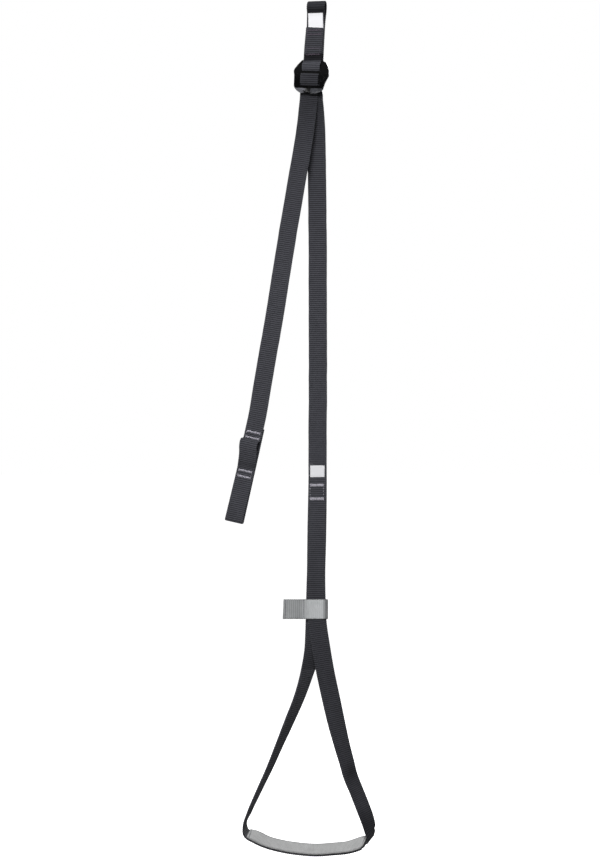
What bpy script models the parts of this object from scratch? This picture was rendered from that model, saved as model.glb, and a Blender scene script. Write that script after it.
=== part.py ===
"""Adjustable foot loop of 20 mm webbing, hanging from its sewn eye.

From the top: the eye, a pressed ladder-lock buckle, the load strap with a foot loop sewn onto its end, and
the free tail with a grab loop. A keeper band slides on the doubled strap above the foot loop.

Metres, +Z up. The front faces -Y. The origin is where the eye bears on what it hangs from.
"""

import bisect
import math

import bmesh
import bpy
from mathutils import Matrix, Vector

MM = 0.001

# Webbing, and the clearances between pieces that touch
STRAP_WIDTH = 20.0 * MM
STRAP_THICKNESS = 1.8 * MM
GAP = 0.3 * MM
SIDE_CLEARANCE = 0.5 * MM
LAYER = STRAP_THICKNESS + GAP
HALF_STRAP = STRAP_THICKNESS / 2

# The eye and the buckle are turned a little about the vertical, right side nearer, and the buckle leans
TOP_YAW = math.radians(-12.0)
BUCKLE_ROLL = math.radians(3.2)

# Sewn eye: its roll, its crease below the roll, and the overlapping end that starts on the front
EYE_INNER_RADIUS = 5.4 * MM
EYE_CREASE_DEPTH = 9.8 * MM
EYE_LAP_TOP = -27.9 * MM
EYE_SEWN_TOP = -31.0 * MM
EYE_SEWN_EASE = 2.0 * MM
EYE_TOP_X = 1.3 * MM
EYE_LEAN = 0.086
LAP_OVERLAP = 0.1 * MM
LAP_INSET = 0.2 * MM

# Eye hinge: the webbing flexes just above the buckle
EYE_HINGE_Z = -61.8 * MM

# Buckle, pressed from one plate
BUCKLE_X = -5.4 * MM
PLATE = 2.0 * MM
PLATE_EDGE_RADIUS = 0.5 * MM
BUCKLE_TOP_Z = -64.4 * MM
TOP_BAR_BOTTOM_Z = -74.6 * MM
CROSS_BAR_TOP_Z = -77.4 * MM
CROSS_BAR_BOTTOM_Z = -79.2 * MM
MIDDLE_BAR_TOP_Z = -81.6 * MM
MIDDLE_BAR_BOTTOM_Z = -89.6 * MM
LIP_TOP_Z = -94.5 * MM
LIP_BOTTOM_Z = -102.4 * MM
MIDDLE_BAR_FORWARD = 2.4 * MM
LIP_FORWARD = 8.6 * MM
BUCKLE_HALF_WIDTH = 20.2 * MM

# Half widths of the slots from the buckle's middle: the strap runs across to the left on its way down
UPPER_SLOT = STRAP_WIDTH / 2 + SIDE_CLEARANCE + 0.3 * MM
MIDDLE_SLOT_LEFT = STRAP_WIDTH / 2 + SIDE_CLEARANCE + 1.3 * MM
MIDDLE_SLOT_RIGHT = STRAP_WIDTH / 2 + SIDE_CLEARANCE - 0.2 * MM
LOWER_SLOT_LEFT = STRAP_WIDTH / 2 + SIDE_CLEARANCE + 1.7 * MM
LOWER_SLOT_RIGHT = STRAP_WIDTH / 2 + SIDE_CLEARANCE + 0.5 * MM
TURN_CLEARANCE = 0.4 * MM
TURN_EDGE_INSET = 0.7 * MM

# Strap hinges, just below the buckle's lip
STRAP_HINGE_Z = LIP_BOTTOM_Z - 1.8 * MM
HINGE_CLEARANCE = 1.2 * MM
LOAD_DRIFT = 3.1 * MM
TAIL_DRIFT = 2.2 * MM
DRIFT_EASE = 2.1
TAIL_BEHIND_LIP = 2.3 * MM

# Load strap and the foot loop's sewn end
LOAD_STRAP_BOTTOM_Z = -520.0 * MM
LOAD_STRAP_BOTTOM_X = 1.8 * MM
FOOT_LAP_TOP_Z = -535.0 * MM
FOOT_LAP_TOP_X = 1.9 * MM

# Labels, bare
LABEL_THICKNESS = 0.4 * MM
EYE_LABEL_WIDTH = 17.4 * MM
EYE_LABEL_HEIGHT = 17.0 * MM
STRAP_LABEL_WIDTH = 16.4 * MM
STRAP_LABEL_HEIGHT = 13.0 * MM
STRAP_LABEL_BOTTOM = 1.0 * MM

# Stitching
THREAD = 0.5 * MM
TACK_SIDE = 0.9 * MM
BOX_TACK_WIDTH = 15.6 * MM
BOX_TACK_HEIGHT = 18.8 * MM
BOX_TACK_TOP_Z = -542.3 * MM
BOX_TACK_BAR = 3.5 * MM
EYE_TACK_WIDTH = 16.0 * MM
EYE_TACK_HEIGHT = 6.5 * MM
EYE_TACK_BAR = 1.4 * MM
EYE_TACK_TOPS = {"eye_tack_upper": -30.0 * MM, "eye_tack_lower": -50.5 * MM}
TAIL_TACK_WIDTH = 16.0 * MM
TAIL_TACK_HEIGHT = 8.7 * MM
TAIL_TACK_BAR = 1.9 * MM

# Tail: the free stretch, and its sewn end with the grab loop
TAIL_JOINT_X = -68.1 * MM
TAIL_JOINT_Y = -17.5 * MM
TAIL_JOINT_Z = -476.0 * MM
TAIL_LEAN = math.radians(12.5)
TAIL_END_LENGTH = 112.0 * MM
TAIL_RAW_END = 3.0 * MM
TAIL_UPPER_TACK = 7.2 * MM
GRAB_LOOP_TOP = 17.8 * MM
GRAB_LOOP_DEPTH = 8.8 * MM
TAIL_LOWER_TACK = 51.6 * MM
TAIL_LAYER_SHIFT = 0.6 * MM

# Keeper band on the doubled strap
KEEPER_TOP_Z = -672.6 * MM
KEEPER_HEIGHT = 22.3 * MM
KEEPER_THICKNESS = 1.2 * MM
KEEPER_RIGHT_X = STRAP_WIDTH / 2 + 3.4 * MM
KEEPER_FRONT_DIVE_X = -STRAP_WIDTH / 2 - 1.5 * MM
KEEPER_BACK_DIVE_X = -STRAP_WIDTH / 2 - 3.6 * MM
KEEPER_TURN_RADIUS = 1.9 * MM
KEEPER_TAB_LENGTH = 23.4 * MM
KEEPER_ROW_INSET = 21.4 * MM
KEEPER_END_ROW_INSET = 2.6 * MM
KEEPER_ROW_WIDTH = 1.8 * MM

# Foot pad on the inner face of the foot bar, and its stitching
PAD_WIDTH = 19.1 * MM
PAD_THICKNESS = 1.6 * MM
PAD_LEFT = 81.0 * MM
PAD_RIGHT = 56.8 * MM
PAD_ROW_INSET = 1.5 * MM
PAD_ROW_WIDTH = 1.0 * MM
PAD_END_ROW_INSET = 2.2 * MM

# Distance between stations along each route
LOAD_STEP = 26.0 * MM
FOOT_STEP = 6.0 * MM
TAIL_STEP = 20.0 * MM

# Turn of a face that looks to the front, in degrees
TO_FRONT = 90

# Load strap's route: x, y, z in mm and the face's turn in degrees
LOAD_ROUTE = (
    (-1.4, 0.2, -118.0, 98),
    (-0.2, 0.0, -134.0, 96),
    (0.8, 0.0, -172.0, 92),
    (1.7, 0.0, -240.0, 90),
    (2.1, 0.0, -340.0, 90),
    (2.1, 0.0, -448.0, 90),
)

# Foot loop's route: down the back layer, the left leg, the foot bar, the right leg, up the front layer
FOOT_ROUTE = (
    (1.9, 0.0, -540.0, 90),
    (1.3, 0.0, -600.0, 90),
    (-0.8, 0.0, -672.0, 90),
    (-1.4, 0.1, -696.0, 89),
    (-1.9, 0.6, -712.0, 84),
    (-3.3, 1.6, -728.0, 70),
    (-9.7, 2.6, -755.0, 48),
    (-18.2, 3.0, -782.0, 38),
    (-29.5, 3.0, -809.5, 33),
    (-41.0, 2.5, -836.5, 26),
    (-52.5, 2.0, -863.7, 21),
    (-65.2, 1.5, -890.8, 17),
    (-75.4, 1.0, -913.5, 13),
    (-80.2, 0.6, -926.5, 9),
    (-78.4, 0.2, -936.4, 20),
    (-67.8, 0.0, -941.4, 34),
    (-54.2, 0.0, -947.6, 31),
    (-39.5, 0.0, -951.5, 31),
    (-16.9, 0.0, -955.0, 31),
    (0.8, 0.0, -956.1, 31),
    (18.1, 0.0, -955.0, 31),
    (38.4, 0.0, -952.6, 31),
    (46.0, 0.0, -950.2, 32),
    (51.8, -0.2, -947.9, 30),
    (56.3, -0.4, -945.4, 17),
    (59.9, -0.6, -942.6, -10),
    (61.2, -0.8, -939.2, -28),
    (60.9, -0.9, -934.8, -37),
    (60.2, -0.9, -928.6, -43),
    (58.2, -0.9, -921.6, -47),
    (52.1, -1.0, -905.0, -50),
    (45.4, -1.4, -888.0, -49),
    (38.5, -3.6, -870.5, -52),
    (34.9, -2.0, -857.0, -55),
    (29.2, -1.8, -836.5, -61),
    (22.5, -2.0, -809.4, -75),
    (16.5, -2.1, -782.3, -87),
    (10.7, -2.1, -755.2, -90),
    (6.0, -2.1, -728.0, -90),
    (1.7, -2.1, -698.0, -90),
    (0.6, -2.1, -672.0, -90),
    (0.6, -2.1, -600.0, -90),
    (1.7, -2.1, -545.0, -90),
)

# Tail's route, forward of the load strap
TAIL_ROUTE = (
    (-9.2, -3.6, -119.0, 100),
    (-10.7, -6.0, -134.0, 100),
    (-14.3, -8.6, -158.5, 100),
    (-21.1, -11.2, -199.0, 100),
    (-32.8, -13.8, -267.0, 100),
    (-45.7, -15.8, -348.0, 100),
    (-59.9, -17.1, -430.0, 100),
)

WEBBING = ("webbing", (0.045, 0.046, 0.056), 0.85, 0.0)
BLACK_METAL = ("black_metal", (0.012, 0.012, 0.014), 0.35, 0.9)
GREY_BAND = ("grey_band", (0.36, 0.39, 0.40), 0.85, 0.0)
GREY_PAD = ("grey_pad", (0.40, 0.41, 0.41), 0.9, 0.0)
LABEL = ("label", (0.85, 0.85, 0.86), 0.7, 0.0)
LIGHT_THREAD = ("light_thread", (0.42, 0.42, 0.46), 0.6, 0.0)
DARK_THREAD = ("dark_thread", (0.06, 0.05, 0.08), 0.6, 0.0)


def clear_scene():
    for obj in list(bpy.data.objects):
        bpy.data.objects.remove(obj, do_unlink=True)


def material(look):
    name, colour, roughness, metallic = look
    found = bpy.data.materials.get(name)
    if found:
        return found
    made = bpy.data.materials.new(name)
    made.use_nodes = True
    shader = made.node_tree.nodes["Principled BSDF"]
    shader.inputs["Base Color"].default_value = (*colour, 1.0)
    shader.inputs["Roughness"].default_value = roughness
    shader.inputs["Metallic"].default_value = metallic
    return made


def add_object(name, mesh_builder, look):
    """Closes a bmesh into a named object with outward faces."""
    bmesh.ops.recalc_face_normals(mesh_builder, faces=mesh_builder.faces)
    mesh = bpy.data.meshes.new(name)
    mesh_builder.to_mesh(mesh)
    mesh_builder.free()
    obj = bpy.data.objects.new(name, mesh)
    bpy.context.scene.collection.objects.link(obj)
    mesh.materials.append(material(look))
    return obj


def move_origin(obj, origin):
    """Puts a moving piece's origin on its joint axis without moving the piece."""
    obj.data.transform(Matrix.Translation(-origin))
    obj.location = origin


def smooth(points, step):
    """Samples a smooth curve through the points, given as equal-length tuples that start with x, y, z."""
    size = len(points[0])
    count = len(points)
    knots = [0.0]
    for before, after in zip(points, points[1:]):
        knots.append(knots[-1] + math.dist(before[:3], after[:3]))
    slopes = []
    for i in range(count):
        low = max(i - 1, 0)
        high = min(i + 1, count - 1)
        if low == i or high == i:
            span = knots[high] - knots[low]
            slopes.append([(points[high][k] - points[low][k]) / span for k in range(size)])
            continue
        left = knots[i] - knots[low]
        right = knots[high] - knots[i]
        slope = []
        for k in range(size):
            before = (points[i][k] - points[low][k]) / left
            after = (points[high][k] - points[i][k]) / right
            slope.append((before * right + after * left) / (left + right))
        slopes.append(slope)
    samples = []
    for i in range(count - 1):
        span = knots[i + 1] - knots[i]
        parts = max(1, round(span / step))
        for j in range(parts):
            t = j / parts
            a = 2 * t**3 - 3 * t**2 + 1
            b = t**3 - 2 * t**2 + t
            c = -2 * t**3 + 3 * t**2
            d = t**3 - t**2
            samples.append(
                tuple(
                    a * points[i][k] + b * span * slopes[i][k] + c * points[i + 1][k] + d * span * slopes[i + 1][k]
                    for k in range(size)
                )
            )
    samples.append(tuple(points[-1]))
    return samples


def tangents(points):
    found = []
    for i in range(len(points)):
        low = points[max(i - 1, 0)]
        high = points[min(i + 1, len(points) - 1)]
        found.append((high - low).normalized())
    return found


def framed(centres, acrosses):
    """Stations of a strip: each centre with its direction across the strip and the normal of its face."""
    stations = []
    for centre, across, along in zip(centres, acrosses, tangents(centres)):
        side = across.normalized()
        stations.append((centre, side, side.cross(along).normalized()))
    return stations


def moved(stations, off_face, sideways=0.0):
    """The same stations moved off the face and sideways, for a piece that lies on the strip."""
    return [(centre + face * off_face + side * sideways, side, face) for centre, side, face in stations]


def strip(name, stations, width, thickness, look):
    """Sweeps a flat section with eased corners through the stations."""
    ease = min(0.35 * MM, thickness * 0.3)
    half_w = width / 2
    half_t = thickness / 2
    corners = (
        (-half_w, -half_t + ease),
        (-half_w + ease, -half_t),
        (half_w - ease, -half_t),
        (half_w, -half_t + ease),
        (half_w, half_t - ease),
        (half_w - ease, half_t),
        (-half_w + ease, half_t),
        (-half_w, half_t - ease),
    )
    builder = bmesh.new()
    rings = []
    for centre, side, face in stations:
        rings.append([builder.verts.new(centre + side * x + face * y) for x, y in corners])
    # Both faces split along the same diagonal, so that pieces on a twisted strip stay clear of it
    for ring, after in zip(rings, rings[1:]):
        for k in range(len(corners)):
            m = (k + 1) % len(corners)
            if k < len(corners) / 2:
                builder.faces.new((ring[k], ring[m], after[m]))
                builder.faces.new((ring[k], after[m], after[k]))
            else:
                builder.faces.new((ring[k], ring[m], after[k]))
                builder.faces.new((ring[m], after[m], after[k]))
    builder.faces.new(rings[0])
    builder.faces.new(rings[-1])
    return add_object(name, builder, look)


def turned_stations(route, step):
    """Stations of a strap that twists: each sample's turn says how far its face looks to the front."""
    samples = smooth(route, step)
    centres = [Vector(sample[:3]) for sample in samples]
    acrosses = []
    for sample, along in zip(samples, tangents(centres)):
        inward = along.cross(Vector((0, 1, 0))).normalized()
        turn = math.radians(sample[3])
        acrosses.append(Vector((0, 1, 0)) * math.cos(turn) + inward * math.sin(turn))
    return framed(centres, acrosses)


def route_in_metres(route):
    return [(x * MM, y * MM, z * MM, turn) for x, y, z, turn in route]


def folded_stations(frame, points):
    """Stations of a strap that folds in the frame's depth-height plane, its width along the frame's X."""
    across = frame.to_3x3() @ Vector((1, 0, 0))
    return framed([frame @ Vector(point) for point in points], [across] * len(points))


def turn_stations(points):
    """Stations of webbing that turns round the leaning bars, with its ends square to the hinges."""
    level = Vector((1, 0, 0))
    leaning = ROLL.to_3x3() @ level
    acrosses = []
    for _, _, z in points:
        on_bars = min((EYE_HINGE_Z - z) / (EYE_HINGE_Z - BUCKLE_TOP_Z), (z - STRAP_HINGE_Z) / (LIP_TOP_Z - STRAP_HINGE_Z))
        across = level.lerp(leaning, max(0.0, min(1.0, on_bars)))
        acrosses.append(TOP_FRAME.to_3x3() @ across)
    return framed([TOP_FRAME @ Vector(point) for point in points], acrosses)


def arc(centre_y, centre_z, radius, start, end, steps):
    """Points of an arc in the depth-height plane. Angles in degrees, 0 at the back and 90 at the top."""
    points = []
    for i in range(steps + 1):
        angle = math.radians(start + (end - start) * i / steps)
        points.append((centre_y + radius * math.cos(angle), centre_z + radius * math.sin(angle)))
    return points


def drifted(points, start_x, end_x):
    """Gives depth-height points an x that runs from start to end, faster at the start."""
    lengths = [0.0]
    for before, after in zip(points, points[1:]):
        lengths.append(lengths[-1] + math.dist(before, after))
    places = []
    for (y, z), length in zip(points, lengths):
        share = 1 - (1 - length / lengths[-1]) ** DRIFT_EASE
        places.append((start_x + (end_x - start_x) * share, y, z))
    return places


def tack(name, frame, top, width, height, bar, look):
    """A sewn tack as one closed rectangle of thread: two broad bars joined by its side rows."""
    outer = ((-width / 2, 0), (width / 2, 0), (width / 2, -height), (-width / 2, -height))
    inner_x = width / 2 - TACK_SIDE
    inner = ((-inner_x, -bar), (inner_x, -bar), (inner_x, -height + bar), (-inner_x, -height + bar))
    builder = bmesh.new()
    loops = []
    for depth in (0.0, THREAD):
        for outline in (outer, inner):
            loop = [builder.verts.new(frame @ Vector((top[0] + x, top[1] - depth, top[2] + z))) for x, z in outline]
            loops.append(loop)
    back_outer, back_inner, front_outer, front_inner = loops
    for k in range(4):
        m = (k + 1) % 4
        builder.faces.new((back_outer[k], back_outer[m], back_inner[m], back_inner[k]))
        builder.faces.new((front_outer[k], front_outer[m], front_inner[m], front_inner[k]))
        builder.faces.new((back_outer[k], back_outer[m], front_outer[m], front_outer[k]))
        builder.faces.new((back_inner[k], back_inner[m], front_inner[m], front_inner[k]))
    return add_object(name, builder, look)


def boolean(obj, other, operation):
    other.hide_render = True
    other.display_type = "WIRE"
    modifier = obj.modifiers.new(operation.lower(), "BOOLEAN")
    modifier.operation = operation
    modifier.object = other
    modifier.solver = "EXACT"


TOP_FRAME = Matrix.Rotation(TOP_YAW, 4, "Z")
BUCKLE_MIDDLE = Matrix.Translation((BUCKLE_X, 0, (BUCKLE_TOP_Z + LIP_BOTTOM_Z) / 2))
ROLL = Matrix.Rotation(BUCKLE_ROLL, 4, "Y")
BUCKLE_FRAME = TOP_FRAME @ BUCKLE_MIDDLE @ ROLL @ BUCKLE_MIDDLE.inverted()
TURN_RADIUS = PLATE / 2 + TURN_CLEARANCE + HALF_STRAP
PLATE_Y = GAP / 2 + LAP_OVERLAP / 2
MIDDLE_BAR_Y = PLATE_Y - MIDDLE_BAR_FORWARD
EYE_BACK_Y = LAYER
EYE_LAP_Y = -STRAP_THICKNESS + LAP_OVERLAP
SOCKET_RADIUS = (EYE_BACK_Y - EYE_LAP_Y) / 2 + HALF_STRAP + GAP
FOOT_FRONT_Y = -LAYER


def eye_x(z):
    return EYE_TOP_X + EYE_LEAN * z


def eye_points():
    """The eye's ring in depth and height: up the back, round the roll, down to the end of the middle layer."""
    roll = EYE_INNER_RADIUS + HALF_STRAP
    top = -EYE_INNER_RADIUS
    crease = -EYE_CREASE_DEPTH
    middle_end = EYE_HINGE_Z + SOCKET_RADIUS + GAP
    points = [
        (EYE_BACK_Y, EYE_HINGE_Z + HALF_STRAP),
        (EYE_BACK_Y, EYE_SEWN_TOP - EYE_SEWN_EASE),
        (EYE_BACK_Y, EYE_SEWN_TOP),
        (EYE_BACK_Y + 0.9 * MM, -20.0 * MM),
        (roll - 0.5 * MM, crease),
    ]
    points += arc(0, top, roll, 0, 180, 8)
    points += [
        (-roll + 0.8 * MM, crease + 2.4 * MM),
        (-roll + 2.9 * MM, crease + 0.2 * MM),
        (-roll + 3.9 * MM, crease - 2.6 * MM),
        (-1.2 * MM, -20.0 * MM),
        (0, EYE_SEWN_TOP),
        (0, EYE_SEWN_TOP - EYE_SEWN_EASE),
        (0, middle_end),
    ]
    return points


def make_eye():
    points = [(eye_x(z), y, z) for y, z in eye_points()]
    samples = smooth(points, 2.2 * MM)
    stations = folded_stations(TOP_FRAME, samples)
    eye = strip("eye_webbing", stations, STRAP_WIDTH, STRAP_THICKNESS, WEBBING)
    lap_ends = [(eye_x(z), EYE_LAP_Y, z) for z in (EYE_LAP_TOP, EYE_HINGE_Z + HALF_STRAP)]
    lap_width = STRAP_WIDTH - 2 * LAP_INSET
    lap = strip("eye_lap", folded_stations(TOP_FRAME, lap_ends), lap_width, STRAP_THICKNESS, WEBBING)
    boolean(eye, lap, "UNION")
    boolean(eye, hinge_socket(), "DIFFERENCE")
    label_stations(samples)
    for name, top_z in EYE_TACK_TOPS.items():
        face_y = EYE_LAP_Y - HALF_STRAP - GAP
        top = (eye_x(top_z), face_y, top_z)
        tack(name, TOP_FRAME, top, EYE_TACK_WIDTH, EYE_TACK_HEIGHT, EYE_TACK_BAR, DARK_THREAD)


def hinge_socket():
    """A round cutter along the eye hinge, which leaves room for the webbing below it to turn."""
    builder = bmesh.new()
    bmesh.ops.create_cone(
        builder,
        cap_ends=True,
        segments=24,
        radius1=SOCKET_RADIUS,
        radius2=SOCKET_RADIUS,
        depth=STRAP_WIDTH * 2,
        matrix=TOP_FRAME
        @ Matrix.Translation((eye_x(EYE_HINGE_Z), (EYE_BACK_Y + EYE_LAP_Y) / 2, EYE_HINGE_Z))
        @ Matrix.Rotation(math.pi / 2, 4, "Y"),
    )
    return add_object("eye_hinge_socket", builder, WEBBING)


def label_stations(samples):
    """The eye's label lies on the front of the ring, from the crease down to the overlapping end."""
    top = EYE_LAP_TOP + EYE_LABEL_HEIGHT
    front = [sample for sample in samples if sample[1] <= 0 and EYE_LAP_TOP + GAP < sample[2] < top + GAP]
    stations = folded_stations(TOP_FRAME, front)
    away = -(HALF_STRAP + GAP + LABEL_THICKNESS / 2)
    strip("eye_label", moved(stations, away), EYE_LABEL_WIDTH, LABEL_THICKNESS, LABEL)


def make_eye_turn():
    """The eye's webbing where it goes round the buckle's top bar, below the hinge."""
    bottom = TOP_BAR_BOTTOM_Z + TURN_EDGE_INSET
    hinge_y = (EYE_LAP_Y, EYE_BACK_Y)
    points = [(hinge_y[0], EYE_HINGE_Z), (hinge_y[0], EYE_HINGE_Z - 1.0 * MM)]
    points += [(PLATE_Y - TURN_RADIUS, BUCKLE_TOP_Z - 1.0 * MM)]
    points += arc(PLATE_Y, bottom, TURN_RADIUS, 180, 360, 8)
    points += [(PLATE_Y + TURN_RADIUS, BUCKLE_TOP_Z - 1.0 * MM)]
    points += [(hinge_y[1], EYE_HINGE_Z - 1.0 * MM), (hinge_y[1], EYE_HINGE_Z)]
    placed = [(eye_x(z), y, z) for y, z in points]
    turn = strip("eye_turn", turn_stations(placed), STRAP_WIDTH, STRAP_THICKNESS, WEBBING)
    move_origin(turn, eye_hinge_point())


def eye_hinge_point():
    return TOP_FRAME @ Vector((eye_x(EYE_HINGE_Z), (EYE_BACK_Y + EYE_LAP_Y) / 2, EYE_HINGE_Z))


def buckle_rows():
    """Height, depth at the slots and at the outer edge, then the outline's and the slots' half widths."""
    top = PLATE_Y
    middle = MIDDLE_BAR_Y
    front = PLATE_Y - LIP_FORWARD
    full = BUCKLE_HALF_WIDTH
    upper = (UPPER_SLOT, UPPER_SLOT)
    inner = (MIDDLE_SLOT_LEFT, MIDDLE_SLOT_RIGHT)
    lower = (LOWER_SLOT_LEFT, LOWER_SLOT_RIGHT)
    lip_middle = (LOWER_SLOT_LEFT - 3.2 * MM, LOWER_SLOT_RIGHT - 2.0 * MM)
    lip_low = (LOWER_SLOT_LEFT - 5.2 * MM, LOWER_SLOT_RIGHT - 4.0 * MM)
    return (
        (BUCKLE_TOP_Z, top, top, full - 9.0 * MM, full - 8.3 * MM, full - 12.2 * MM, full - 12.2 * MM),
        (BUCKLE_TOP_Z - 2.1 * MM, top, top, full - 6.9 * MM, full - 4.0 * MM, full - 10.2 * MM, full - 10.2 * MM),
        (BUCKLE_TOP_Z - 5.9 * MM, top, top, full - 3.6 * MM, full - 1.8 * MM, *upper),
        (TOP_BAR_BOTTOM_Z, top, top, full - 0.4 * MM, full - 0.3 * MM, *upper),
        (CROSS_BAR_TOP_Z, top, top, full + 0.2 * MM, full, *upper),
        (CROSS_BAR_BOTTOM_Z, top, top, full, full - 0.1 * MM, *inner),
        (MIDDLE_BAR_TOP_Z, middle, top - 0.1 * MM, full - 0.5 * MM, full - 0.2 * MM, *inner),
        (MIDDLE_BAR_BOTTOM_Z, middle, middle - 1.6 * MM, full - 1.4 * MM, full - 3.3 * MM, *lower),
        (LIP_TOP_Z, front + 1.8 * MM, front + 2.4 * MM, full - 2.0 * MM, full - 3.9 * MM, *lower),
        (LIP_TOP_Z - 1.4 * MM, front, front + 0.8 * MM, full - 2.8 * MM, full - 3.6 * MM, *lip_middle),
        (LIP_TOP_Z - 3.6 * MM, front + 0.6 * MM, front + 1.2 * MM, full - 4.8 * MM, full - 3.8 * MM, *lip_middle),
        (LIP_BOTTOM_Z, front + 2.2 * MM, front + 2.4 * MM, full - 10.4 * MM, full - 8.6 * MM, *lip_low),
    )


BAR_SPANS = (0, 1, 2, 4, 6, 8, 9, 10)


def make_buckle():
    """One plate with three slots: rails at the sides, and the top bar, cross bar, middle bar and lip."""
    builder = bmesh.new()
    rows = []
    for z, inner_y, outer_y, left, right, slot_left, slot_right in buckle_rows():
        places = ((-left, outer_y), (-slot_left, inner_y), (slot_right, inner_y), (right, outer_y))
        rows.append([builder.verts.new(BUCKLE_FRAME @ Vector((BUCKLE_X + x, y, z))) for x, y in places])
    for i, (upper, lower) in enumerate(zip(rows, rows[1:])):
        for k in (0, 1, 2):
            if k == 1 and i not in BAR_SPANS:
                continue
            builder.faces.new((upper[k], upper[k + 1], lower[k + 1], lower[k]))
    buckle = add_object("buckle_frame", builder, BLACK_METAL)
    plate = buckle.modifiers.new("plate", "SOLIDIFY")
    plate.thickness = PLATE
    plate.offset = 0
    plate.use_even_offset = True
    edges = buckle.modifiers.new("edges", "BEVEL")
    edges.width = PLATE_EDGE_RADIUS
    edges.segments = 2
    edges.limit_method = "ANGLE"
    edges.angle_limit = math.radians(50)
    buckle.data.shade_smooth()
    buckle.data.set_sharp_from_angle(angle=math.radians(20))
    move_origin(buckle, eye_hinge_point())


def load_hinge_local():
    return Vector((BUCKLE_X + LOAD_DRIFT, MIDDLE_BAR_Y + TURN_RADIUS, STRAP_HINGE_Z))


def tail_hinge_local():
    return Vector((BUCKLE_X - TAIL_DRIFT, MIDDLE_BAR_Y + TURN_RADIUS - TAIL_BEHIND_LIP, STRAP_HINGE_Z))


def make_strap_turn():
    """The strap's turn through the buckle: up behind, over the middle bar, and down behind the lip."""
    back_y = load_hinge_local().y
    front_y = MIDDLE_BAR_Y - TURN_RADIUS
    tail_y = tail_hinge_local().y
    top_z = MIDDLE_BAR_TOP_Z - TURN_EDGE_INSET
    end_z = STRAP_HINGE_Z + HINGE_CLEARANCE
    down = smooth(
        [
            (0, front_y, MIDDLE_BAR_BOTTOM_Z + 2.0 * MM),
            (0, front_y + 0.1 * MM, MIDDLE_BAR_BOTTOM_Z),
            (0, front_y + 1.1 * MM, MIDDLE_BAR_BOTTOM_Z - 2.9 * MM),
            (0, tail_y - 0.2 * MM, LIP_TOP_Z - 1.0 * MM),
            (0, tail_y, LIP_TOP_Z - 3.5 * MM),
            (0, tail_y, end_z),
        ],
        1.6 * MM,
    )
    points = [(back_y, end_z), (back_y, (end_z + top_z) / 2)]
    points += arc(MIDDLE_BAR_Y, top_z, TURN_RADIUS, 0, 180, 8)
    points += [(y, z) for _, y, z in down]
    placed = drifted(points, load_hinge_local().x, tail_hinge_local().x)
    turn = strip("strap_turn", turn_stations(placed), STRAP_WIDTH, STRAP_THICKNESS, WEBBING)
    move_origin(turn, eye_hinge_point())


def load_stations():
    hinge = TOP_FRAME @ load_hinge_local()
    yaw_turn = TO_FRONT - math.degrees(TOP_YAW)
    below = tuple(hinge + Vector((0, 0, -4 * MM)))
    route = [(*hinge, yaw_turn), (*below, yaw_turn)] + route_in_metres(LOAD_ROUTE)
    route.append((LOAD_STRAP_BOTTOM_X, 0.0, LOAD_STRAP_BOTTOM_Z + GAP, TO_FRONT))
    return turned_stations(route, LOAD_STEP)


def make_load_strap():
    strap = strip("load_strap", load_stations(), STRAP_WIDTH, STRAP_THICKNESS, WEBBING)
    move_origin(strap, TOP_FRAME @ load_hinge_local())


def foot_stations():
    start = (LOAD_STRAP_BOTTOM_X, 0.0, LOAD_STRAP_BOTTOM_Z, TO_FRONT)
    end = (FOOT_LAP_TOP_X, FOOT_FRONT_Y, FOOT_LAP_TOP_Z, -TO_FRONT)
    stations = turned_stations([start] + route_in_metres(FOOT_ROUTE) + [end], FOOT_STEP)
    row = PAD_END_ROW_INSET + PAD_ROW_WIDTH
    ends = (-PAD_LEFT, -PAD_LEFT + PAD_END_ROW_INSET, -PAD_LEFT + row)
    other_ends = (PAD_RIGHT - row, PAD_RIGHT - PAD_END_ROW_INSET, PAD_RIGHT)
    return marked(stations, ends + other_ends)


def make_foot_loop():
    stations, places = foot_stations()
    foot = strip("foot_webbing", stations, STRAP_WIDTH, STRAP_THICKNESS, WEBBING)
    move_origin(foot, Vector((0, 0, LOAD_STRAP_BOTTOM_Z)))
    make_pad(stations, places)
    label_z = FOOT_LAP_TOP_Z + STRAP_LABEL_BOTTOM
    label_y = -(HALF_STRAP + GAP + LABEL_THICKNESS / 2)
    ends = [(1.6 * MM, label_y, z) for z in (label_z, label_z + STRAP_LABEL_HEIGHT)]
    flat = folded_stations(Matrix.Identity(4), ends)
    strip("strap_label", flat, STRAP_LABEL_WIDTH, LABEL_THICKNESS, LABEL)
    top = (1.0 * MM, FOOT_FRONT_Y - HALF_STRAP - GAP, BOX_TACK_TOP_Z)
    tack("box_tack", Matrix.Identity(4), top, BOX_TACK_WIDTH, BOX_TACK_HEIGHT, BOX_TACK_BAR, LIGHT_THREAD)


def marked(stations, marks):
    """Adds a station at each mark, a length along the strip from its lowest point, and finds their places."""
    lengths = [0.0]
    for before, after in zip(stations, stations[1:]):
        lengths.append(lengths[-1] + (after[0] - before[0]).length)
    heights = [station[0].z for station in stations]
    middle = lengths[heights.index(min(heights))]
    stations = list(stations)
    for mark in marks:
        i = bisect.bisect(lengths, middle + mark)
        share = (middle + mark - lengths[i - 1]) / (lengths[i] - lengths[i - 1])
        between = [stations[i - 1][k].lerp(stations[i][k], share) for k in range(3)]
        stations.insert(i, (between[0], between[1].normalized(), between[2].normalized()))
        lengths.insert(i, middle + mark)
    return stations, [lengths.index(middle + mark) for mark in marks]


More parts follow.
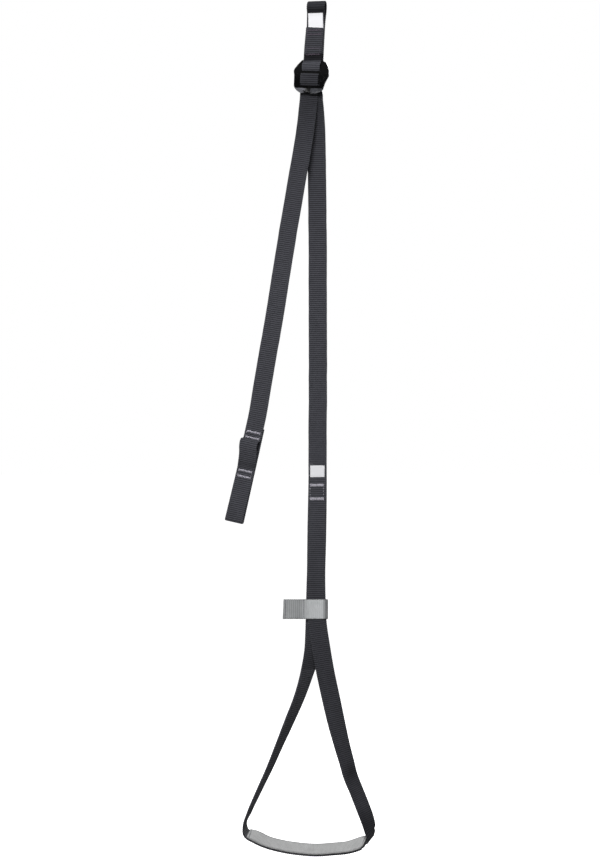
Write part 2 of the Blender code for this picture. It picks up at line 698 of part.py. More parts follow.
def make_pad(stations, places):
    """The grey pad on the bar's inner face, with its edge rows and end rows of stitching."""
    left, left_row, left_row_end, right_row_end, right_row, right = places
    pad_off = HALF_STRAP + GAP + PAD_THICKNESS / 2
    under = stations[left : right + 1]
    strip("foot_pad", moved(under, -pad_off), PAD_WIDTH, PAD_THICKNESS, GREY_PAD)
    row_off = pad_off + PAD_THICKNESS / 2 + GAP + THREAD / 2
    inset = PAD_WIDTH / 2 - PAD_ROW_INSET
    edge_rows = stations[left_row : right_row + 1]
    for name, side in (("pad_stitch_front", -inset), ("pad_stitch_back", inset)):
        strip(name, moved(edge_rows, -row_off, side), PAD_ROW_WIDTH, THREAD, LIGHT_THREAD)
    across_width = PAD_WIDTH - 2 * PAD_ROW_INSET - PAD_ROW_WIDTH - 2 * GAP
    ends = (("pad_tack_left", left_row, left_row_end), ("pad_tack_right", right_row_end, right_row))
    for name, first, last in ends:
        strip(name, moved(stations[first : last + 1], -row_off), across_width, THREAD, LIGHT_THREAD)


def keeper_points():
    """The band seen from above: front panel, right turn, back panel, both ending in the tab at the left."""
    front_y = FOOT_FRONT_Y - HALF_STRAP - GAP - KEEPER_THICKNESS / 2
    back_y = HALF_STRAP + GAP + KEEPER_THICKNESS / 2
    tab_front = (front_y + back_y) / 2 - (KEEPER_THICKNESS + GAP) / 2
    tab_back = tab_front + KEEPER_THICKNESS + GAP
    end_x = KEEPER_BACK_DIVE_X - KEEPER_TAB_LENGTH
    points = [
        (end_x, tab_front),
        (KEEPER_FRONT_DIVE_X - 3.4 * MM, tab_front),
        (KEEPER_FRONT_DIVE_X - 2.0 * MM, tab_front - 0.6 * MM),
        (KEEPER_FRONT_DIVE_X, front_y),
    ]
    turn_x = KEEPER_RIGHT_X - KEEPER_THICKNESS / 2 - KEEPER_TURN_RADIUS
    corners = ((front_y + KEEPER_TURN_RADIUS, -90), (back_y - KEEPER_TURN_RADIUS, 0))
    for corner_y, start in corners:
        for i in range(4):
            angle = math.radians(start + 30 * i)
            across = KEEPER_TURN_RADIUS * math.cos(angle)
            points.append((turn_x + across, corner_y + KEEPER_TURN_RADIUS * math.sin(angle)))
    points += [
        (KEEPER_BACK_DIVE_X, back_y),
        (KEEPER_BACK_DIVE_X - 2.2 * MM, tab_back + 0.6 * MM),
        (KEEPER_BACK_DIVE_X - 4.0 * MM, tab_back),
        (end_x, tab_back),
    ]
    return points


def make_keeper():
    points = keeper_points()
    middle_z = KEEPER_TOP_Z - KEEPER_HEIGHT / 2
    upright = Vector((0, 0, 1))
    centres = [Vector((x, y, middle_z)) for x, y in points]
    stations = framed(centres, [upright] * len(centres))
    strip("keeper_band", stations, KEEPER_HEIGHT, KEEPER_THICKNESS, GREY_BAND)
    end_x, tab_y = points[0]
    row_y = tab_y - KEEPER_THICKNESS / 2 - GAP - THREAD / 2
    rows = (("keeper_stitch_inner", KEEPER_ROW_INSET), ("keeper_stitch_end", KEEPER_END_ROW_INSET))
    for name, inset in rows:
        x = end_x + inset
        ends = [Vector((x + side * KEEPER_ROW_WIDTH / 2, row_y, middle_z)) for side in (-1, 1)]
        strip(name, framed(ends, [upright] * 2), KEEPER_HEIGHT - 2 * GAP, THREAD, DARK_THREAD)


def tail_frame():
    """The frame of the tail's sewn end: X across the strap, Y to the back, Z up along the strap."""
    place = Matrix.Translation((TAIL_JOINT_X, TAIL_JOINT_Y, TAIL_JOINT_Z))
    return place @ Matrix.Rotation(TAIL_LEAN, 4, "Y") @ Matrix.Rotation(TOP_YAW, 4, "Z")


def make_tail_strap():
    hinge = TOP_FRAME @ tail_hinge_local()
    yaw_turn = TO_FRONT - math.degrees(TOP_YAW)
    below = tuple(hinge + Vector((-0.3 * MM, -0.3 * MM, -4 * MM)))
    ends = [(*(tail_frame() @ Vector((0, 0, height))), yaw_turn) for height in (7 * MM, GAP)]
    route = [(*hinge, yaw_turn), (*below, yaw_turn)] + route_in_metres(TAIL_ROUTE) + ends
    strap = strip("tail_strap", turned_stations(route, TAIL_STEP), STRAP_WIDTH, STRAP_THICKNESS, WEBBING)
    move_origin(strap, hinge)


def make_tail_end():
    """The tail's end: the front layer with its slack grab loop, the fold at the bottom, the back layer."""
    loop_top = -GRAB_LOOP_TOP
    loop_y = -GRAB_LOOP_DEPTH
    flat_end = -TAIL_UPPER_TACK - TAIL_TACK_HEIGHT - GAP
    bottom = -TAIL_END_LENGTH + LAYER / 2 + HALF_STRAP
    shift = TAIL_LAYER_SHIFT
    grab_loop = [
        (0, 0, flat_end),
        (-0.9 * MM, -0.8 * MM, loop_top + 0.5 * MM),
        (-1.2 * MM, -2.6 * MM, loop_top),
        (-1.3 * MM, loop_y + 3.4 * MM, loop_top - 0.2 * MM),
        (-1.3 * MM, loop_y + 0.8 * MM, loop_top - 2.8 * MM),
        (-0.9 * MM, loop_y, loop_top - 7.5 * MM),
        (0.6 * MM, loop_y + 1.3 * MM, loop_top - 16.0 * MM),
        (0.9 * MM, loop_y + 4.4 * MM, loop_top - 25.0 * MM),
        (0.6 * MM, -1.4 * MM, -TAIL_LOWER_TACK + 4.2 * MM),
        (0.5 * MM, 0, -TAIL_LOWER_TACK + 0.8 * MM),
    ]
    samples = [(0, 0, 0)] + smooth(grab_loop, 3.0 * MM)
    for i, (y, z) in enumerate(arc(LAYER / 2, bottom, LAYER / 2, 180, 360, 6)):
        samples.append((-shift + 2 * shift * i / 6, y, z))
    samples.append((shift, LAYER, bottom / 2))
    samples.append((shift, LAYER, -TAIL_RAW_END))
    frame = tail_frame()
    end = strip("tail_end", folded_stations(frame, samples), STRAP_WIDTH, STRAP_THICKNESS, WEBBING)
    move_origin(end, frame @ Vector((0, 0, 0)))
    face_y = -HALF_STRAP - GAP
    tacks = (("tail_tack_upper", TAIL_UPPER_TACK, 0), ("tail_tack_lower", TAIL_LOWER_TACK, 0.4 * MM))
    for name, top, x in tacks:
        place = (x, face_y, -top)
        tack(name, frame, place, TAIL_TACK_WIDTH, TAIL_TACK_HEIGHT, TAIL_TACK_BAR, LIGHT_THREAD)


def main():
    clear_scene()
    make_eye()
    make_eye_turn()
    make_buckle()
    make_strap_turn()
    make_load_strap()
    make_foot_loop()
    make_keeper()
    make_tail_strap()
    make_tail_end()


main()
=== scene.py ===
import math
import random

import bmesh
import bpy
from mathutils import Matrix, Vector, noise
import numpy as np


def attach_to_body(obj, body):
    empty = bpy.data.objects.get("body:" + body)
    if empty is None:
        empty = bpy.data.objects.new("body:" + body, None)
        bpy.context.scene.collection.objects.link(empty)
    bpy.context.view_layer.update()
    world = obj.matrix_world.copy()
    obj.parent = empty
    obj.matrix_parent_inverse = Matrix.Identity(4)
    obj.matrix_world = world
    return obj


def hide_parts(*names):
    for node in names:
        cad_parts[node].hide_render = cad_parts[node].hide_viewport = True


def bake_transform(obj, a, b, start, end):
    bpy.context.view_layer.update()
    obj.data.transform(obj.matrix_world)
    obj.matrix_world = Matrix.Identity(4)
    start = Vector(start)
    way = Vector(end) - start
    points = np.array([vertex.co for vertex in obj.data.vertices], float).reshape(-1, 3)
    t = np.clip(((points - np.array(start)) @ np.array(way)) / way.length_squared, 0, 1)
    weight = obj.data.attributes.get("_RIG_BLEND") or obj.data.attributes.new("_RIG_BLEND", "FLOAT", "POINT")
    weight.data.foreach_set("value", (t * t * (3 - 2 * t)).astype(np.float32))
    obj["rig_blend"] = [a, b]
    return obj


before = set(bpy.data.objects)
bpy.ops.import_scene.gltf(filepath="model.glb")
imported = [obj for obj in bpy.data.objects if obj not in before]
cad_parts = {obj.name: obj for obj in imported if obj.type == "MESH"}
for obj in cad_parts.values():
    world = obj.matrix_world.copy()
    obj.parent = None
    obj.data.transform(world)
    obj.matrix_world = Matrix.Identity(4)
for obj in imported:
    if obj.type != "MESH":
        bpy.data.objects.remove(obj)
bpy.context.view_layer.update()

# Everything is in metres, +Z up, and the front faces -Y. Sizes and routes repeat the part's own.
MM = 0.001

# Camera at the photo's viewing angle
CAMERA_PLACE = (-18.0 * MM, -3000.0 * MM, -480.0 * MM)
CAMERA_LENS_MM = 74.45
CAMERA_SENSOR_MM = 24.0

# Painted light and shade along the webbing: mm below the eye, and how much of its colour is left
PAINTED_SHADE_ALONG = (
    (0, 0.68),
    (7, 0.4),
    (14, 0.28),
    (25, 0.84),
    (56, 0.88),
    (58, 0.2),
    (64, 0.24),
    (67, 1.2),
    (77, 1.2),
    (80, 0.66),
    (112, 0.55),
    (170, 0.9),
    (300, 1.1),
    (560, 1.2),
    (680, 0.95),
    (760, 0.85),
    (905, 1.05),
    (925, 0.6),
)
# Painted shade in the crease across the foot loop's right leg
CREASE_PLACE = Vector((40.0 * MM, -3.6 * MM, -867.0 * MM))
CREASE_REACH = 13.0 * MM
CREASE_SHADE = 0.6
# The left leg's painted shade is lighter, from where it leaves the right one
LEGS_PART_Z = -752.0 * MM
LEFT_LEG_TONE = 1.6
# The keeper's band, by mm to the right of the middle: darker on its tab, and painted shade round its right
# turn
BAND_SHADES = (
    (-38, 0.5),
    (-34, 0.68),
    (-18, 0.6),
    (-12, 0.8),
    (-7, 1.0),
    (7, 1.05),
    (9, 0.7),
    (11, 0.4),
)

# Surroundings that light the part: where they are darkest, from which nearness to it, and how bright they are
DARK_SIDE = (0.45, -0.1, 0.88)
DARK_FROM = 0.75
WORLD_BRIGHT = 0.6
WORLD_DARK = 0.02
FLOOR_Z = -1060.0 * MM
FLOOR_RADIUS = 30.0

# Webbing: its section, and its weave. One rib is RIB_RINGS rings of points long
STRAP_WIDTH = 20.0 * MM
WOVEN_WIDTH = 20.9 * MM
STRAP_THICKNESS = 1.8 * MM
GAP = 0.3 * MM
LAYER = STRAP_THICKNESS + GAP
HALF_STRAP = STRAP_THICKNESS / 2
RIB_PITCH = 2.26 * MM
RIB_RINGS = 4
RIB_LIFTS = (0.0, 0.8, 1.0, 0.8)
RIB_HEIGHT = 0.2 * MM
FACE_COLUMNS = (-0.97, -0.89, -0.78, -0.4, 0.0, 0.4, 0.78, 0.89, 0.97)
SELVAGE_START = 0.86
SELVAGE_THINNING = 0.3
SELVAGE_NOTCH = 0.3 * MM
FINE_STEP = 0.45 * MM
SWAY = 0.3 * MM
SWAY_RINGS = 70
FINE_SWAY_RINGS = 24

# Raw ends of a strip
SLANT_RINGS = 3 * RIB_RINGS
RAGGED = 0.12 * MM
END_THINNING = 0.3
END_ROUNDING = 0.16 * MM

# One stitch's rings: share of its length, and height over the face and size in radii of the thread
STITCH_SIDES = 6
STITCH_RINGS = (
    (0.0, -0.9, 0.7),
    (0.12, 0.1, 0.95),
    (0.32, 0.62, 1.0),
    (0.5, 0.75, 1.0),
    (0.68, 0.62, 1.0),
    (0.88, 0.1, 0.95),
    (1.0, -0.9, 0.7),
)

# Turn of the eye and the buckle about the vertical, and the buckle's lean
TOP_YAW = math.radians(-12.0)
BUCKLE_ROLL = math.radians(3.2)

# Sewn eye
EYE_INNER_RADIUS = 5.4 * MM
EYE_CREASE_DEPTH = 9.8 * MM
EYE_LAP_TOP = -27.9 * MM
EYE_LAP_SLANT = 0.7 * MM
EYE_TOP_RISE = 0.5 * MM
EYE_NECK_Z = -20.0 * MM
EYE_SEWN_TOP = -31.0 * MM
EYE_SEWN_EASE = 2.0 * MM
EYE_LAP_X = 1.65 * MM
EYE_LAP_LEAN = 0.086
EYE_BACK_X = 1.15 * MM
EYE_BACK_LEAN = 0.052
EYE_BAR_SHIFT = -0.8 * MM
EYE_HINGE_Z = -61.8 * MM
EYE_FLEX_ABOVE = 5.0 * MM
EYE_FLEX_BELOW = 4.5 * MM
EYE_MIDDLE_END = -58.4 * MM
EYE_BACK_Y = LAYER
EYE_LAP_Y = -STRAP_THICKNESS + 0.1 * MM

# The eye's tacks: top and bottom of each one's two bars, in mm
EYE_TACKS = (
    ("eye_tack_upper", (-30.0, -31.4), (-34.9, -36.3)),
    ("eye_tack_lower", (-50.6, -52.0), (-57.4, -58.8)),
)
EYE_TACK_ZIGZAGS = 17
EYE_TACK_HALF_WIDTH = 8.0 * MM
EYE_TACK_SIDE_X = 7.8 * MM
EYE_TACK_SIDE_STITCH = 1.5 * MM
EYE_TACK_JITTER = 0.4 * MM
EYE_TACK_LIFT = 0.12 * MM
EYE_THREAD = 0.17 * MM

# Buckle
BUCKLE_X = -5.4 * MM
PLATE = 2.0 * MM
PLATE_EDGE = 0.5 * MM
PLATE_EDGE_ANGLE = math.radians(24)
BUCKLE_TOP_Z = -64.4 * MM
TOP_BAR_BOTTOM_Z = -74.6 * MM
CROSS_BAR_TOP_Z = -76.8 * MM
CROSS_BAR_BOTTOM_Z = -79.2 * MM
MIDDLE_BAR_TOP_Z = -81.6 * MM
MIDDLE_BAR_BOTTOM_Z = -89.6 * MM
LIP_TOP_Z = -94.5 * MM
LIP_CREST_Z = LIP_TOP_Z - 2.6 * MM
LIP_BOTTOM_Z = -102.4 * MM
MIDDLE_BAR_FORWARD = 2.4 * MM
LIP_FORWARD = 8.6 * MM
TURN_CLEARANCE = 0.4 * MM
TURN_EDGE_INSET = 0.7 * MM
TURN_RADIUS = PLATE / 2 + TURN_CLEARANCE + HALF_STRAP
PLATE_Y = 0.2 * MM
MIDDLE_BAR_Y = PLATE_Y - MIDDLE_BAR_FORWARD
LIP_Y = PLATE_Y - LIP_FORWARD

# Half widths of its slots in mm, left and right. The middle slot has a narrower upper right corner
UPPER_SLOT = (10.8, 10.1)
MIDDLE_SLOT_TOP = (11.8, 8.0)
MIDDLE_SLOT = (11.8, 9.2)
LOWER_SLOT = (11.0, 11.0)

# Its mesh: columns of a bar, spans between rows that are bars, and the span where the wings are folded
BAR_COLUMNS = 20
BAR_SPANS = (0, 1, 2, 4, 6, 8, 9, 10, 11)
FOLDED_SPAN = 6

# Thumb notch in its lip; finishes: painted, edges with wear and painted highlight, painted reflections left
# and right on the lip
NOTCH_RIGHT = 1.6 * MM
NOTCH_LEFT_TOP = -3.2 * MM
NOTCH_LEFT_SLOPE = 1.1
NOTCH_DEPTH = 0.8 * MM
NOTCHED_ROWS = (9, 10, 11)
METALS = ("metal", "metal_edge", "metal_lip_reflection_left", "metal_lip_reflection_right")

# Strap hinges below the buckle's lip
STRAP_HINGE_Z = LIP_BOTTOM_Z - 1.8 * MM
TURN_FLEX = 5.0 * MM
LOAD_DRIFT = 3.1 * MM
TAIL_DRIFT = 2.2 * MM
DRIFT_EASE = 2.1
TAIL_BEHIND_LIP = 2.3 * MM

# Load strap, and the foot loop's sewn end
LOAD_STRAP_BOTTOM_Z = -520.0 * MM
LOAD_STRAP_BOTTOM_X = 1.8 * MM
LOAD_STRAP_BACK_Y = 0.8 * MM
FOOT_LAP_TOP_Z = -535.0 * MM
FOOT_LAP_TOP_X = 1.9 * MM
FOOT_LAP_SLANT = 0.3 * MM
FOOT_FRONT_Y = -LAYER

# Box tack: its sides, its bars' tops and bottoms in mm, and the tops of the stitches down each side
BOX_LEFT = -6.8 * MM
BOX_RIGHT = 8.8 * MM
BOX_BARS = ((-542.3, -545.5), (-557.6, -560.8))
BOX_ZIGZAGS = 19
BOX_JITTER = 0.34 * MM
BOX_SIDE_INSET = 0.3 * MM
BOX_SIDES = (
    (BOX_LEFT + BOX_SIDE_INSET, (-547.2, -550.6, -554.0)),
    (BOX_RIGHT - BOX_SIDE_INSET, (-546.8, -549.9, -553.4)),
)
BOX_SIDE_STITCH_MM = 1.7
BOX_THREAD = 0.19 * MM

# Row of stitches along the raw end above it
LAP_ROW_Z = -537.7 * MM
LAP_ROW_LEFT = -6.6 * MM
LAP_ROW_COUNT = 7
LAP_ROW_PITCH = 2.2 * MM
LAP_ROW_STITCH = 1.3 * MM
LAP_ROW_THREAD = 0.16 * MM

# Labels, bare
LABEL_THICKNESS = 0.4 * MM
LABEL_PITCH = 1.0 * MM
EYE_LABEL_X = 0.2 * MM
EYE_LABEL_WIDTH = 17.2 * MM
EYE_LABEL_HEIGHT = 16.2 * MM
EYE_LABEL_TUCK = 0.5 * MM
STRAP_LABEL_X = 1.6 * MM
STRAP_LABEL_WIDTH = 16.4 * MM
STRAP_LABEL_HEIGHT = 12.2 * MM
STRAP_LABEL_BOTTOM = 1.0 * MM
STRAP_LABEL_TUCK = 1.6 * MM

# Tail
TAIL_JOINT = (-68.1 * MM, -17.5 * MM, -476.0 * MM)
TAIL_LEAN = math.radians(12.5)
TAIL_END_LENGTH = 112.0 * MM
TAIL_RAW_END = 3.0 * MM
TAIL_UPPER_TACK = 7.2 * MM
TAIL_LOWER_TACK = 51.6 * MM
TAIL_LOWER_TACK_X = 0.4 * MM
TAIL_TACK_HEIGHT = 8.7 * MM
TAIL_TACK_HALF_WIDTH = 7.8 * MM
TAIL_TACK_BAR = 2.0 * MM
TAIL_TACK_ZIGZAGS = 20
TAIL_TACK_JITTER = 0.28 * MM
TAIL_THREAD = 0.18 * MM
GRAB_LOOP_TOP = 17.8 * MM
GRAB_LOOP_DEPTH = 8.8 * MM
TAIL_LAYER_SHIFT = 0.6 * MM

# Keeper band
KEEPER_TOP_Z = -672.6 * MM
KEEPER_HEIGHT = 22.3 * MM
KEEPER_THICKNESS = 1.2 * MM
KEEPER_RIB = 0.14 * MM
KEEPER_NOTCH = 0.2 * MM
KEEPER_STEP = 0.3 * MM
KEEPER_SLANTS = (0.5 * MM, -0.4 * MM)
KEEPER_RIGHT_X = STRAP_WIDTH / 2 + 3.5 * MM
KEEPER_FRONT_DIVE_X = -STRAP_WIDTH / 2 - 1.5 * MM
KEEPER_BACK_DIVE_X = -STRAP_WIDTH / 2 - 3.4 * MM
KEEPER_TURN_RADIUS = 1.9 * MM
KEEPER_TAB_LENGTH = 23.4 * MM
KEEPER_END_X = KEEPER_BACK_DIVE_X - KEEPER_TAB_LENGTH

# Its two rows of stitches: distance from its end, how far they stand off, how many, and half a stitch
KEEPER_ROWS = (
    ("inner", 23.2 * MM, 0.5 * MM, 10, 0.75 * MM),
    ("end", 2.6 * MM, 0.0, 13, 0.8 * MM),
)
KEEPER_ROW_MARGIN = 1.2 * MM
KEEPER_STITCH_DROP = 0.5 * MM
KEEPER_THREAD = 0.2 * MM

# Foot pad, placed by lengths along the strap from its lowest point
PAD_WIDTH = 19.1 * MM
PAD_THICKNESS = 1.6 * MM
PAD_NOTCH = 0.22 * MM
PAD_CLEARANCE = 0.1 * MM
PAD_PITCH = 1.47 * MM
PAD_LEFT = 81.0 * MM
PAD_RIGHT = 56.8 * MM
PAD_MIDDLE = Vector((0.8 * MM, 0.0, -956.1 * MM))

# Its stitches, by rings of the pad's strip
PAD_STITCH_INSET = 1.5 * MM
PAD_STITCH_SINK = 0.05 * MM
PAD_ROW_START = 6
PAD_ROW_END = 10
PAD_ROW_PITCH = 5
PAD_ROW_STITCH = 4
PAD_ROW_THREAD = 0.16 * MM
PAD_TACK_LEFT = 4
PAD_TACK_RIGHT = 8
PAD_TACK_STITCH = 3
PAD_TACK_ZIGZAGS = 15
PAD_TACK_THREAD = 0.17 * MM

# The foot bar's right end, where the strap turns over and its back edge runs ahead of its front edge
BEND_PLACE = Vector((60.0 * MM, -0.6 * MM, -942.5 * MM))
BEND_REACH = 15.0 * MM
BEND_RAKE = 0.7

# Turn of a face that looks to the front, in degrees
TO_FRONT = 90

# Routes: x, y, z in mm and the face's turn in degrees
LOAD_ROUTE = (
    (-1.4, 0.7, -118.0, 98),
    (-0.2, 0.8, -134.0, 96),
    (0.8, 0.8, -172.0, 92),
    (1.7, 0.8, -240.0, 90),
    (2.1, 0.8, -340.0, 90),
    (2.1, 0.8, -448.0, 90),
)
FOOT_ROUTE = (
    (1.9, 0.0, -540.0, 90),
    (1.3, 0.0, -600.0, 90),
    (-0.8, 0.0, -672.0, 90),
    (-1.4, 0.1, -696.0, 89),
    (-1.9, 0.6, -712.0, 84),
    (-3.3, 1.6, -728.0, 70),
    (-9.7, 2.6, -755.0, 48),
    (-18.2, 3.0, -782.0, 38),
    (-29.5, 3.0, -809.5, 33),
    (-41.0, 2.5, -836.5, 26),
    (-52.5, 2.0, -863.7, 21),
    (-65.2, 1.5, -890.8, 17),
    (-75.4, 1.0, -913.5, 13),
    (-80.2, 0.6, -926.5, 9),
    (-78.4, 0.2, -936.4, 20),
    (-67.8, 0.0, -941.4, 34),
    (-54.2, 0.0, -947.6, 31),
    (-39.5, 0.0, -951.5, 31),
    (-16.9, 0.0, -955.0, 31),
    (0.8, 0.0, -956.1, 31),
    (18.1, 0.0, -955.0, 31),
    (38.4, 0.0, -952.6, 31),
    (46.0, 0.0, -950.2, 32),
    (51.8, -0.2, -947.9, 30),
    (57.2, -0.4, -945.9, 19),
    (61.2, -0.6, -943.2, -8),
    (62.4, -0.8, -939.4, -26),
    (61.6, -0.9, -934.8, -37),
    (60.2, -0.9, -928.6, -43),
    (58.2, -0.9, -921.6, -47),
    (52.1, -1.0, -905.0, -50),
    (45.4, -1.4, -888.0, -49),
    (38.5, -3.6, -870.5, -52),
    (34.9, -2.0, -857.0, -55),
    (29.2, -1.8, -836.5, -61),
    (22.5, -2.0, -809.4, -75),
    (16.5, -2.1, -782.3, -87),
    (10.7, -2.1, -755.2, -90),
    (6.0, -2.1, -728.0, -90),
    (1.7, -2.1, -698.0, -90),
    (0.6, -2.1, -672.0, -90),
    (0.6, -2.1, -600.0, -90),
    (1.7, -2.1, -545.0, -90),
)
TAIL_ROUTE = (
    (-9.2, -3.6, -119.0, 100),
    (-10.7, -6.0, -134.0, 100),
    (-14.3, -8.6, -158.5, 100),
    (-21.1, -11.2, -199.0, 100),
    (-32.8, -13.8, -267.0, 100),
    (-45.7, -15.8, -348.0, 100),
    (-59.9, -17.1, -430.0, 100),
)

# Shares of a feeding strap's length where it is cut, so that each stretch takes up its own part of the travel
FEED_CUTS = (0.0, 0.02, 0.06, 0.16, 0.36, 0.64, 0.84, 0.94, 0.98, 1.0)

LEVEL = Matrix.Identity(4)
TOP_FRAME = Matrix.Rotation(TOP_YAW, 4, "Z")
BUCKLE_MIDDLE = Matrix.Translation((BUCKLE_X, 0, (BUCKLE_TOP_Z + LIP_BOTTOM_Z) / 2))
ROLL = Matrix.Rotation(BUCKLE_ROLL, 4, "Y")
BUCKLE_FRAME = TOP_FRAME @ BUCKLE_MIDDLE @ ROLL @ BUCKLE_MIDDLE.inverted()

# The place of the tail's sewn end: X across the strap, Y to the back, Z up along the strap
TAIL_FRAME = Matrix.Translation(TAIL_JOINT) @ Matrix.Rotation(TAIL_LEAN, 4, "Y") @ TOP_FRAME

# Hinges of the load strap and the tail, before TOP_FRAME turns them
LOAD_HINGE = Vector((BUCKLE_X + LOAD_DRIFT, MIDDLE_BAR_Y + TURN_RADIUS, STRAP_HINGE_Z))
TAIL_HINGE = Vector((BUCKLE_X - TAIL_DRIFT, MIDDLE_BAR_Y + TURN_RADIUS - TAIL_BEHIND_LIP, STRAP_HINGE_Z))


def make_camera():
    data = bpy.data.cameras.new("camera")
    data.sensor_fit = "VERTICAL"
    data.sensor_height = CAMERA_SENSOR_MM
    data.lens = CAMERA_LENS_MM
    camera = bpy.data.objects.new("camera", data)
    camera.location = CAMERA_PLACE
    camera.rotation_euler = (math.pi / 2, 0, 0)
    bpy.context.scene.collection.objects.link(camera)
    bpy.context.scene.camera = camera


# Paths: a station is a centre, the direction across the strip and the normal of its face


def smooth(points, step):
    """Samples a smooth curve through the points, given as equal-length tuples that start with x, y, z."""
    spans = [math.dist(before[:3], after[:3]) for before, after in zip(points, points[1:])]
    rises = []
    for before, after, span in zip(points, points[1:], spans):
        rises.append([(b - a) / span for a, b in zip(before, after)])
    slopes = [rises[0]]
    for before, after, left, right in zip(rises, rises[1:], spans, spans[1:]):
        slopes.append([(a * right + b * left) / (left + right) for a, b in zip(before, after)])
    slopes.append(rises[-1])
    samples = []
    for i, span in enumerate(spans):
        parts = max(1, round(span / step))
        for j in range(parts):
            t = j / parts
            near = 2 * t**3 - 3 * t**2 + 1
            near_slope = (t**3 - 2 * t**2 + t) * span
            far_slope = (t**3 - t**2) * span
            far = 1 - near
            ends = zip(points[i], slopes[i], points[i + 1], slopes[i + 1])
            samples.append(tuple(a * near + b * near_slope + c * far + d * far_slope for a, b, c, d in ends))
    samples.append(tuple(points[-1]))
    return samples


def tangents(points):
    found = []
    for i in range(len(points)):
        low = points[max(i - 1, 0)]
        high = points[min(i + 1, len(points) - 1)]
        found.append((high - low).normalized())
    return found


def framed(centres, acrosses):
    stations = []
    for centre, across, along in zip(centres, acrosses, tangents(centres)):
        side = across.normalized()
        stations.append((centre, side, side.cross(along).normalized()))
    return stations


def moved(stations, off_face):
    return [(centre + face * off_face, side, face) for centre, side, face in stations]


def centres_of(stations):
    return [station[0] for station in stations]


def running_lengths(points):
    lengths = [0.0]
    for before, after in zip(points, points[1:]):
        lengths.append(lengths[-1] + math.dist(before, after))
    return lengths


def evenly(stations, pitch=RIB_PITCH):
    """The same strip with its stations spread evenly, a whole number of ribs long."""
    lengths = running_lengths(centres_of(stations))
    count = max(1, round(lengths[-1] / pitch)) * RIB_RINGS
    spread = []
    j = 0
    for i in range(count + 1):
        target = lengths[-1] * i / count
        while j < len(lengths) - 2 and lengths[j + 1] < target:
            j += 1
        share = (target - lengths[j]) / (lengths[j + 1] - lengths[j])
        centre, side, face = (low.lerp(high, share) for low, high in zip(stations[j], stations[j + 1]))
        spread.append((centre, side.normalized(), face.normalized()))
    return spread


def swayed(stations, seed):
    """The strip a little less than straight, with its two ends in place."""
    last = len(stations) - 1
    placed = []
    for i, (centre, side, face) in enumerate(stations):
        hold = min(1.0, i / SWAY_RINGS, (last - i) / SWAY_RINGS)
        drift = noise.noise(Vector((seed, i / SWAY_RINGS, 0.0)))
        drift += 0.5 * noise.noise(Vector((seed, i / FINE_SWAY_RINGS, 5.0)))
        placed.append((centre + side * drift * hold * SWAY, side, face))
    return placed


def turned_stations(route):
    """Stations of a strap that twists: each sample's turn says how far its face looks to the front."""
    samples = smooth(route, FINE_STEP)
    centres = [Vector(sample[:3]) for sample in samples]
    acrosses = []
    for sample, along in zip(samples, tangents(centres)):
        inward = along.cross(Vector((0, 1, 0))).normalized()
        turn = math.radians(sample[3])
        acrosses.append(Vector((0, 1, 0)) * math.cos(turn) + inward * math.sin(turn))
    return framed(centres, acrosses)


def route_in_metres(route):
    return [(x * MM, y * MM, z * MM, turn) for x, y, z, turn in route]


def folded_stations(place, points):
    """Stations of a strap that folds in the place's depth-height plane, its width along the place's X."""
    across = place.to_3x3() @ Vector((1, 0, 0))
    return framed([place @ Vector(point) for point in points], [across] * len(points))


def turn_stations(points):
    """Stations of webbing round the buckle's leaning bars, level again at both hinges."""
    level = Vector((1, 0, 0))
    leaning = ROLL.to_3x3() @ level
    acrosses = []
    for _, _, z in points:
        above = (EYE_HINGE_Z - z) / (EYE_HINGE_Z - BUCKLE_TOP_Z)
        below = (z - STRAP_HINGE_Z) / (LIP_TOP_Z - STRAP_HINGE_Z)
        across = level.lerp(leaning, max(0.0, min(1.0, above, below)))
        acrosses.append(TOP_FRAME.to_3x3() @ across)
    return framed([TOP_FRAME @ Vector(point) for point in points], acrosses)


def raked(stations):
    """The strip with its width raked along it round the foot bar's right end, most at BEND_PLACE."""
    leaned = []
    for (centre, side, face), along in zip(stations, tangents(centres_of(stations))):
        near = max(0.0, 1 - ((centre - BEND_PLACE).length / BEND_REACH) ** 2) ** 2
        leaned.append((centre, (side + along * near * BEND_RAKE).normalized(), face))
    return leaned


def arc(first, second, radius, start, end, steps):
    """Points of an arc round a centre. Angles in degrees, 0 along the first axis and 90 along the second."""
    points = []
    for i in range(steps + 1):
        angle = math.radians(start + (end - start) * i / steps)
        points.append((first + radius * math.cos(angle), second + radius * math.sin(angle)))
    return points


def drifted(points, start_x, end_x):
    """Gives depth-height points an x that runs from start to end, faster at the start."""
    lengths = running_lengths(points)
    places = []
    for (y, z), length in zip(points, lengths):
        share = 1 - (1 - length / lengths[-1]) ** DRIFT_EASE
        places.append((start_x + (end_x - start_x) * share, y, z))
    return places


# Materials


class Nodes:
    """A node tree and the short calls that build it."""

    def __init__(self, tree):
        self.tree = tree

    def put(self, socket, value):
        if isinstance(value, bpy.types.NodeSocket):
            self.tree.links.new(value, socket)
        else:
            socket.default_value = value

    def add(self, kind, inputs=(), **settings):
        """A new node. The inputs are its sockets, by name or number, and what goes into each."""
        node = self.tree.nodes.new(kind)
        for key, value in settings.items():
            setattr(node, key, value)
        for key, value in dict(inputs).items():
            self.put(node.inputs[key], value)
        return node


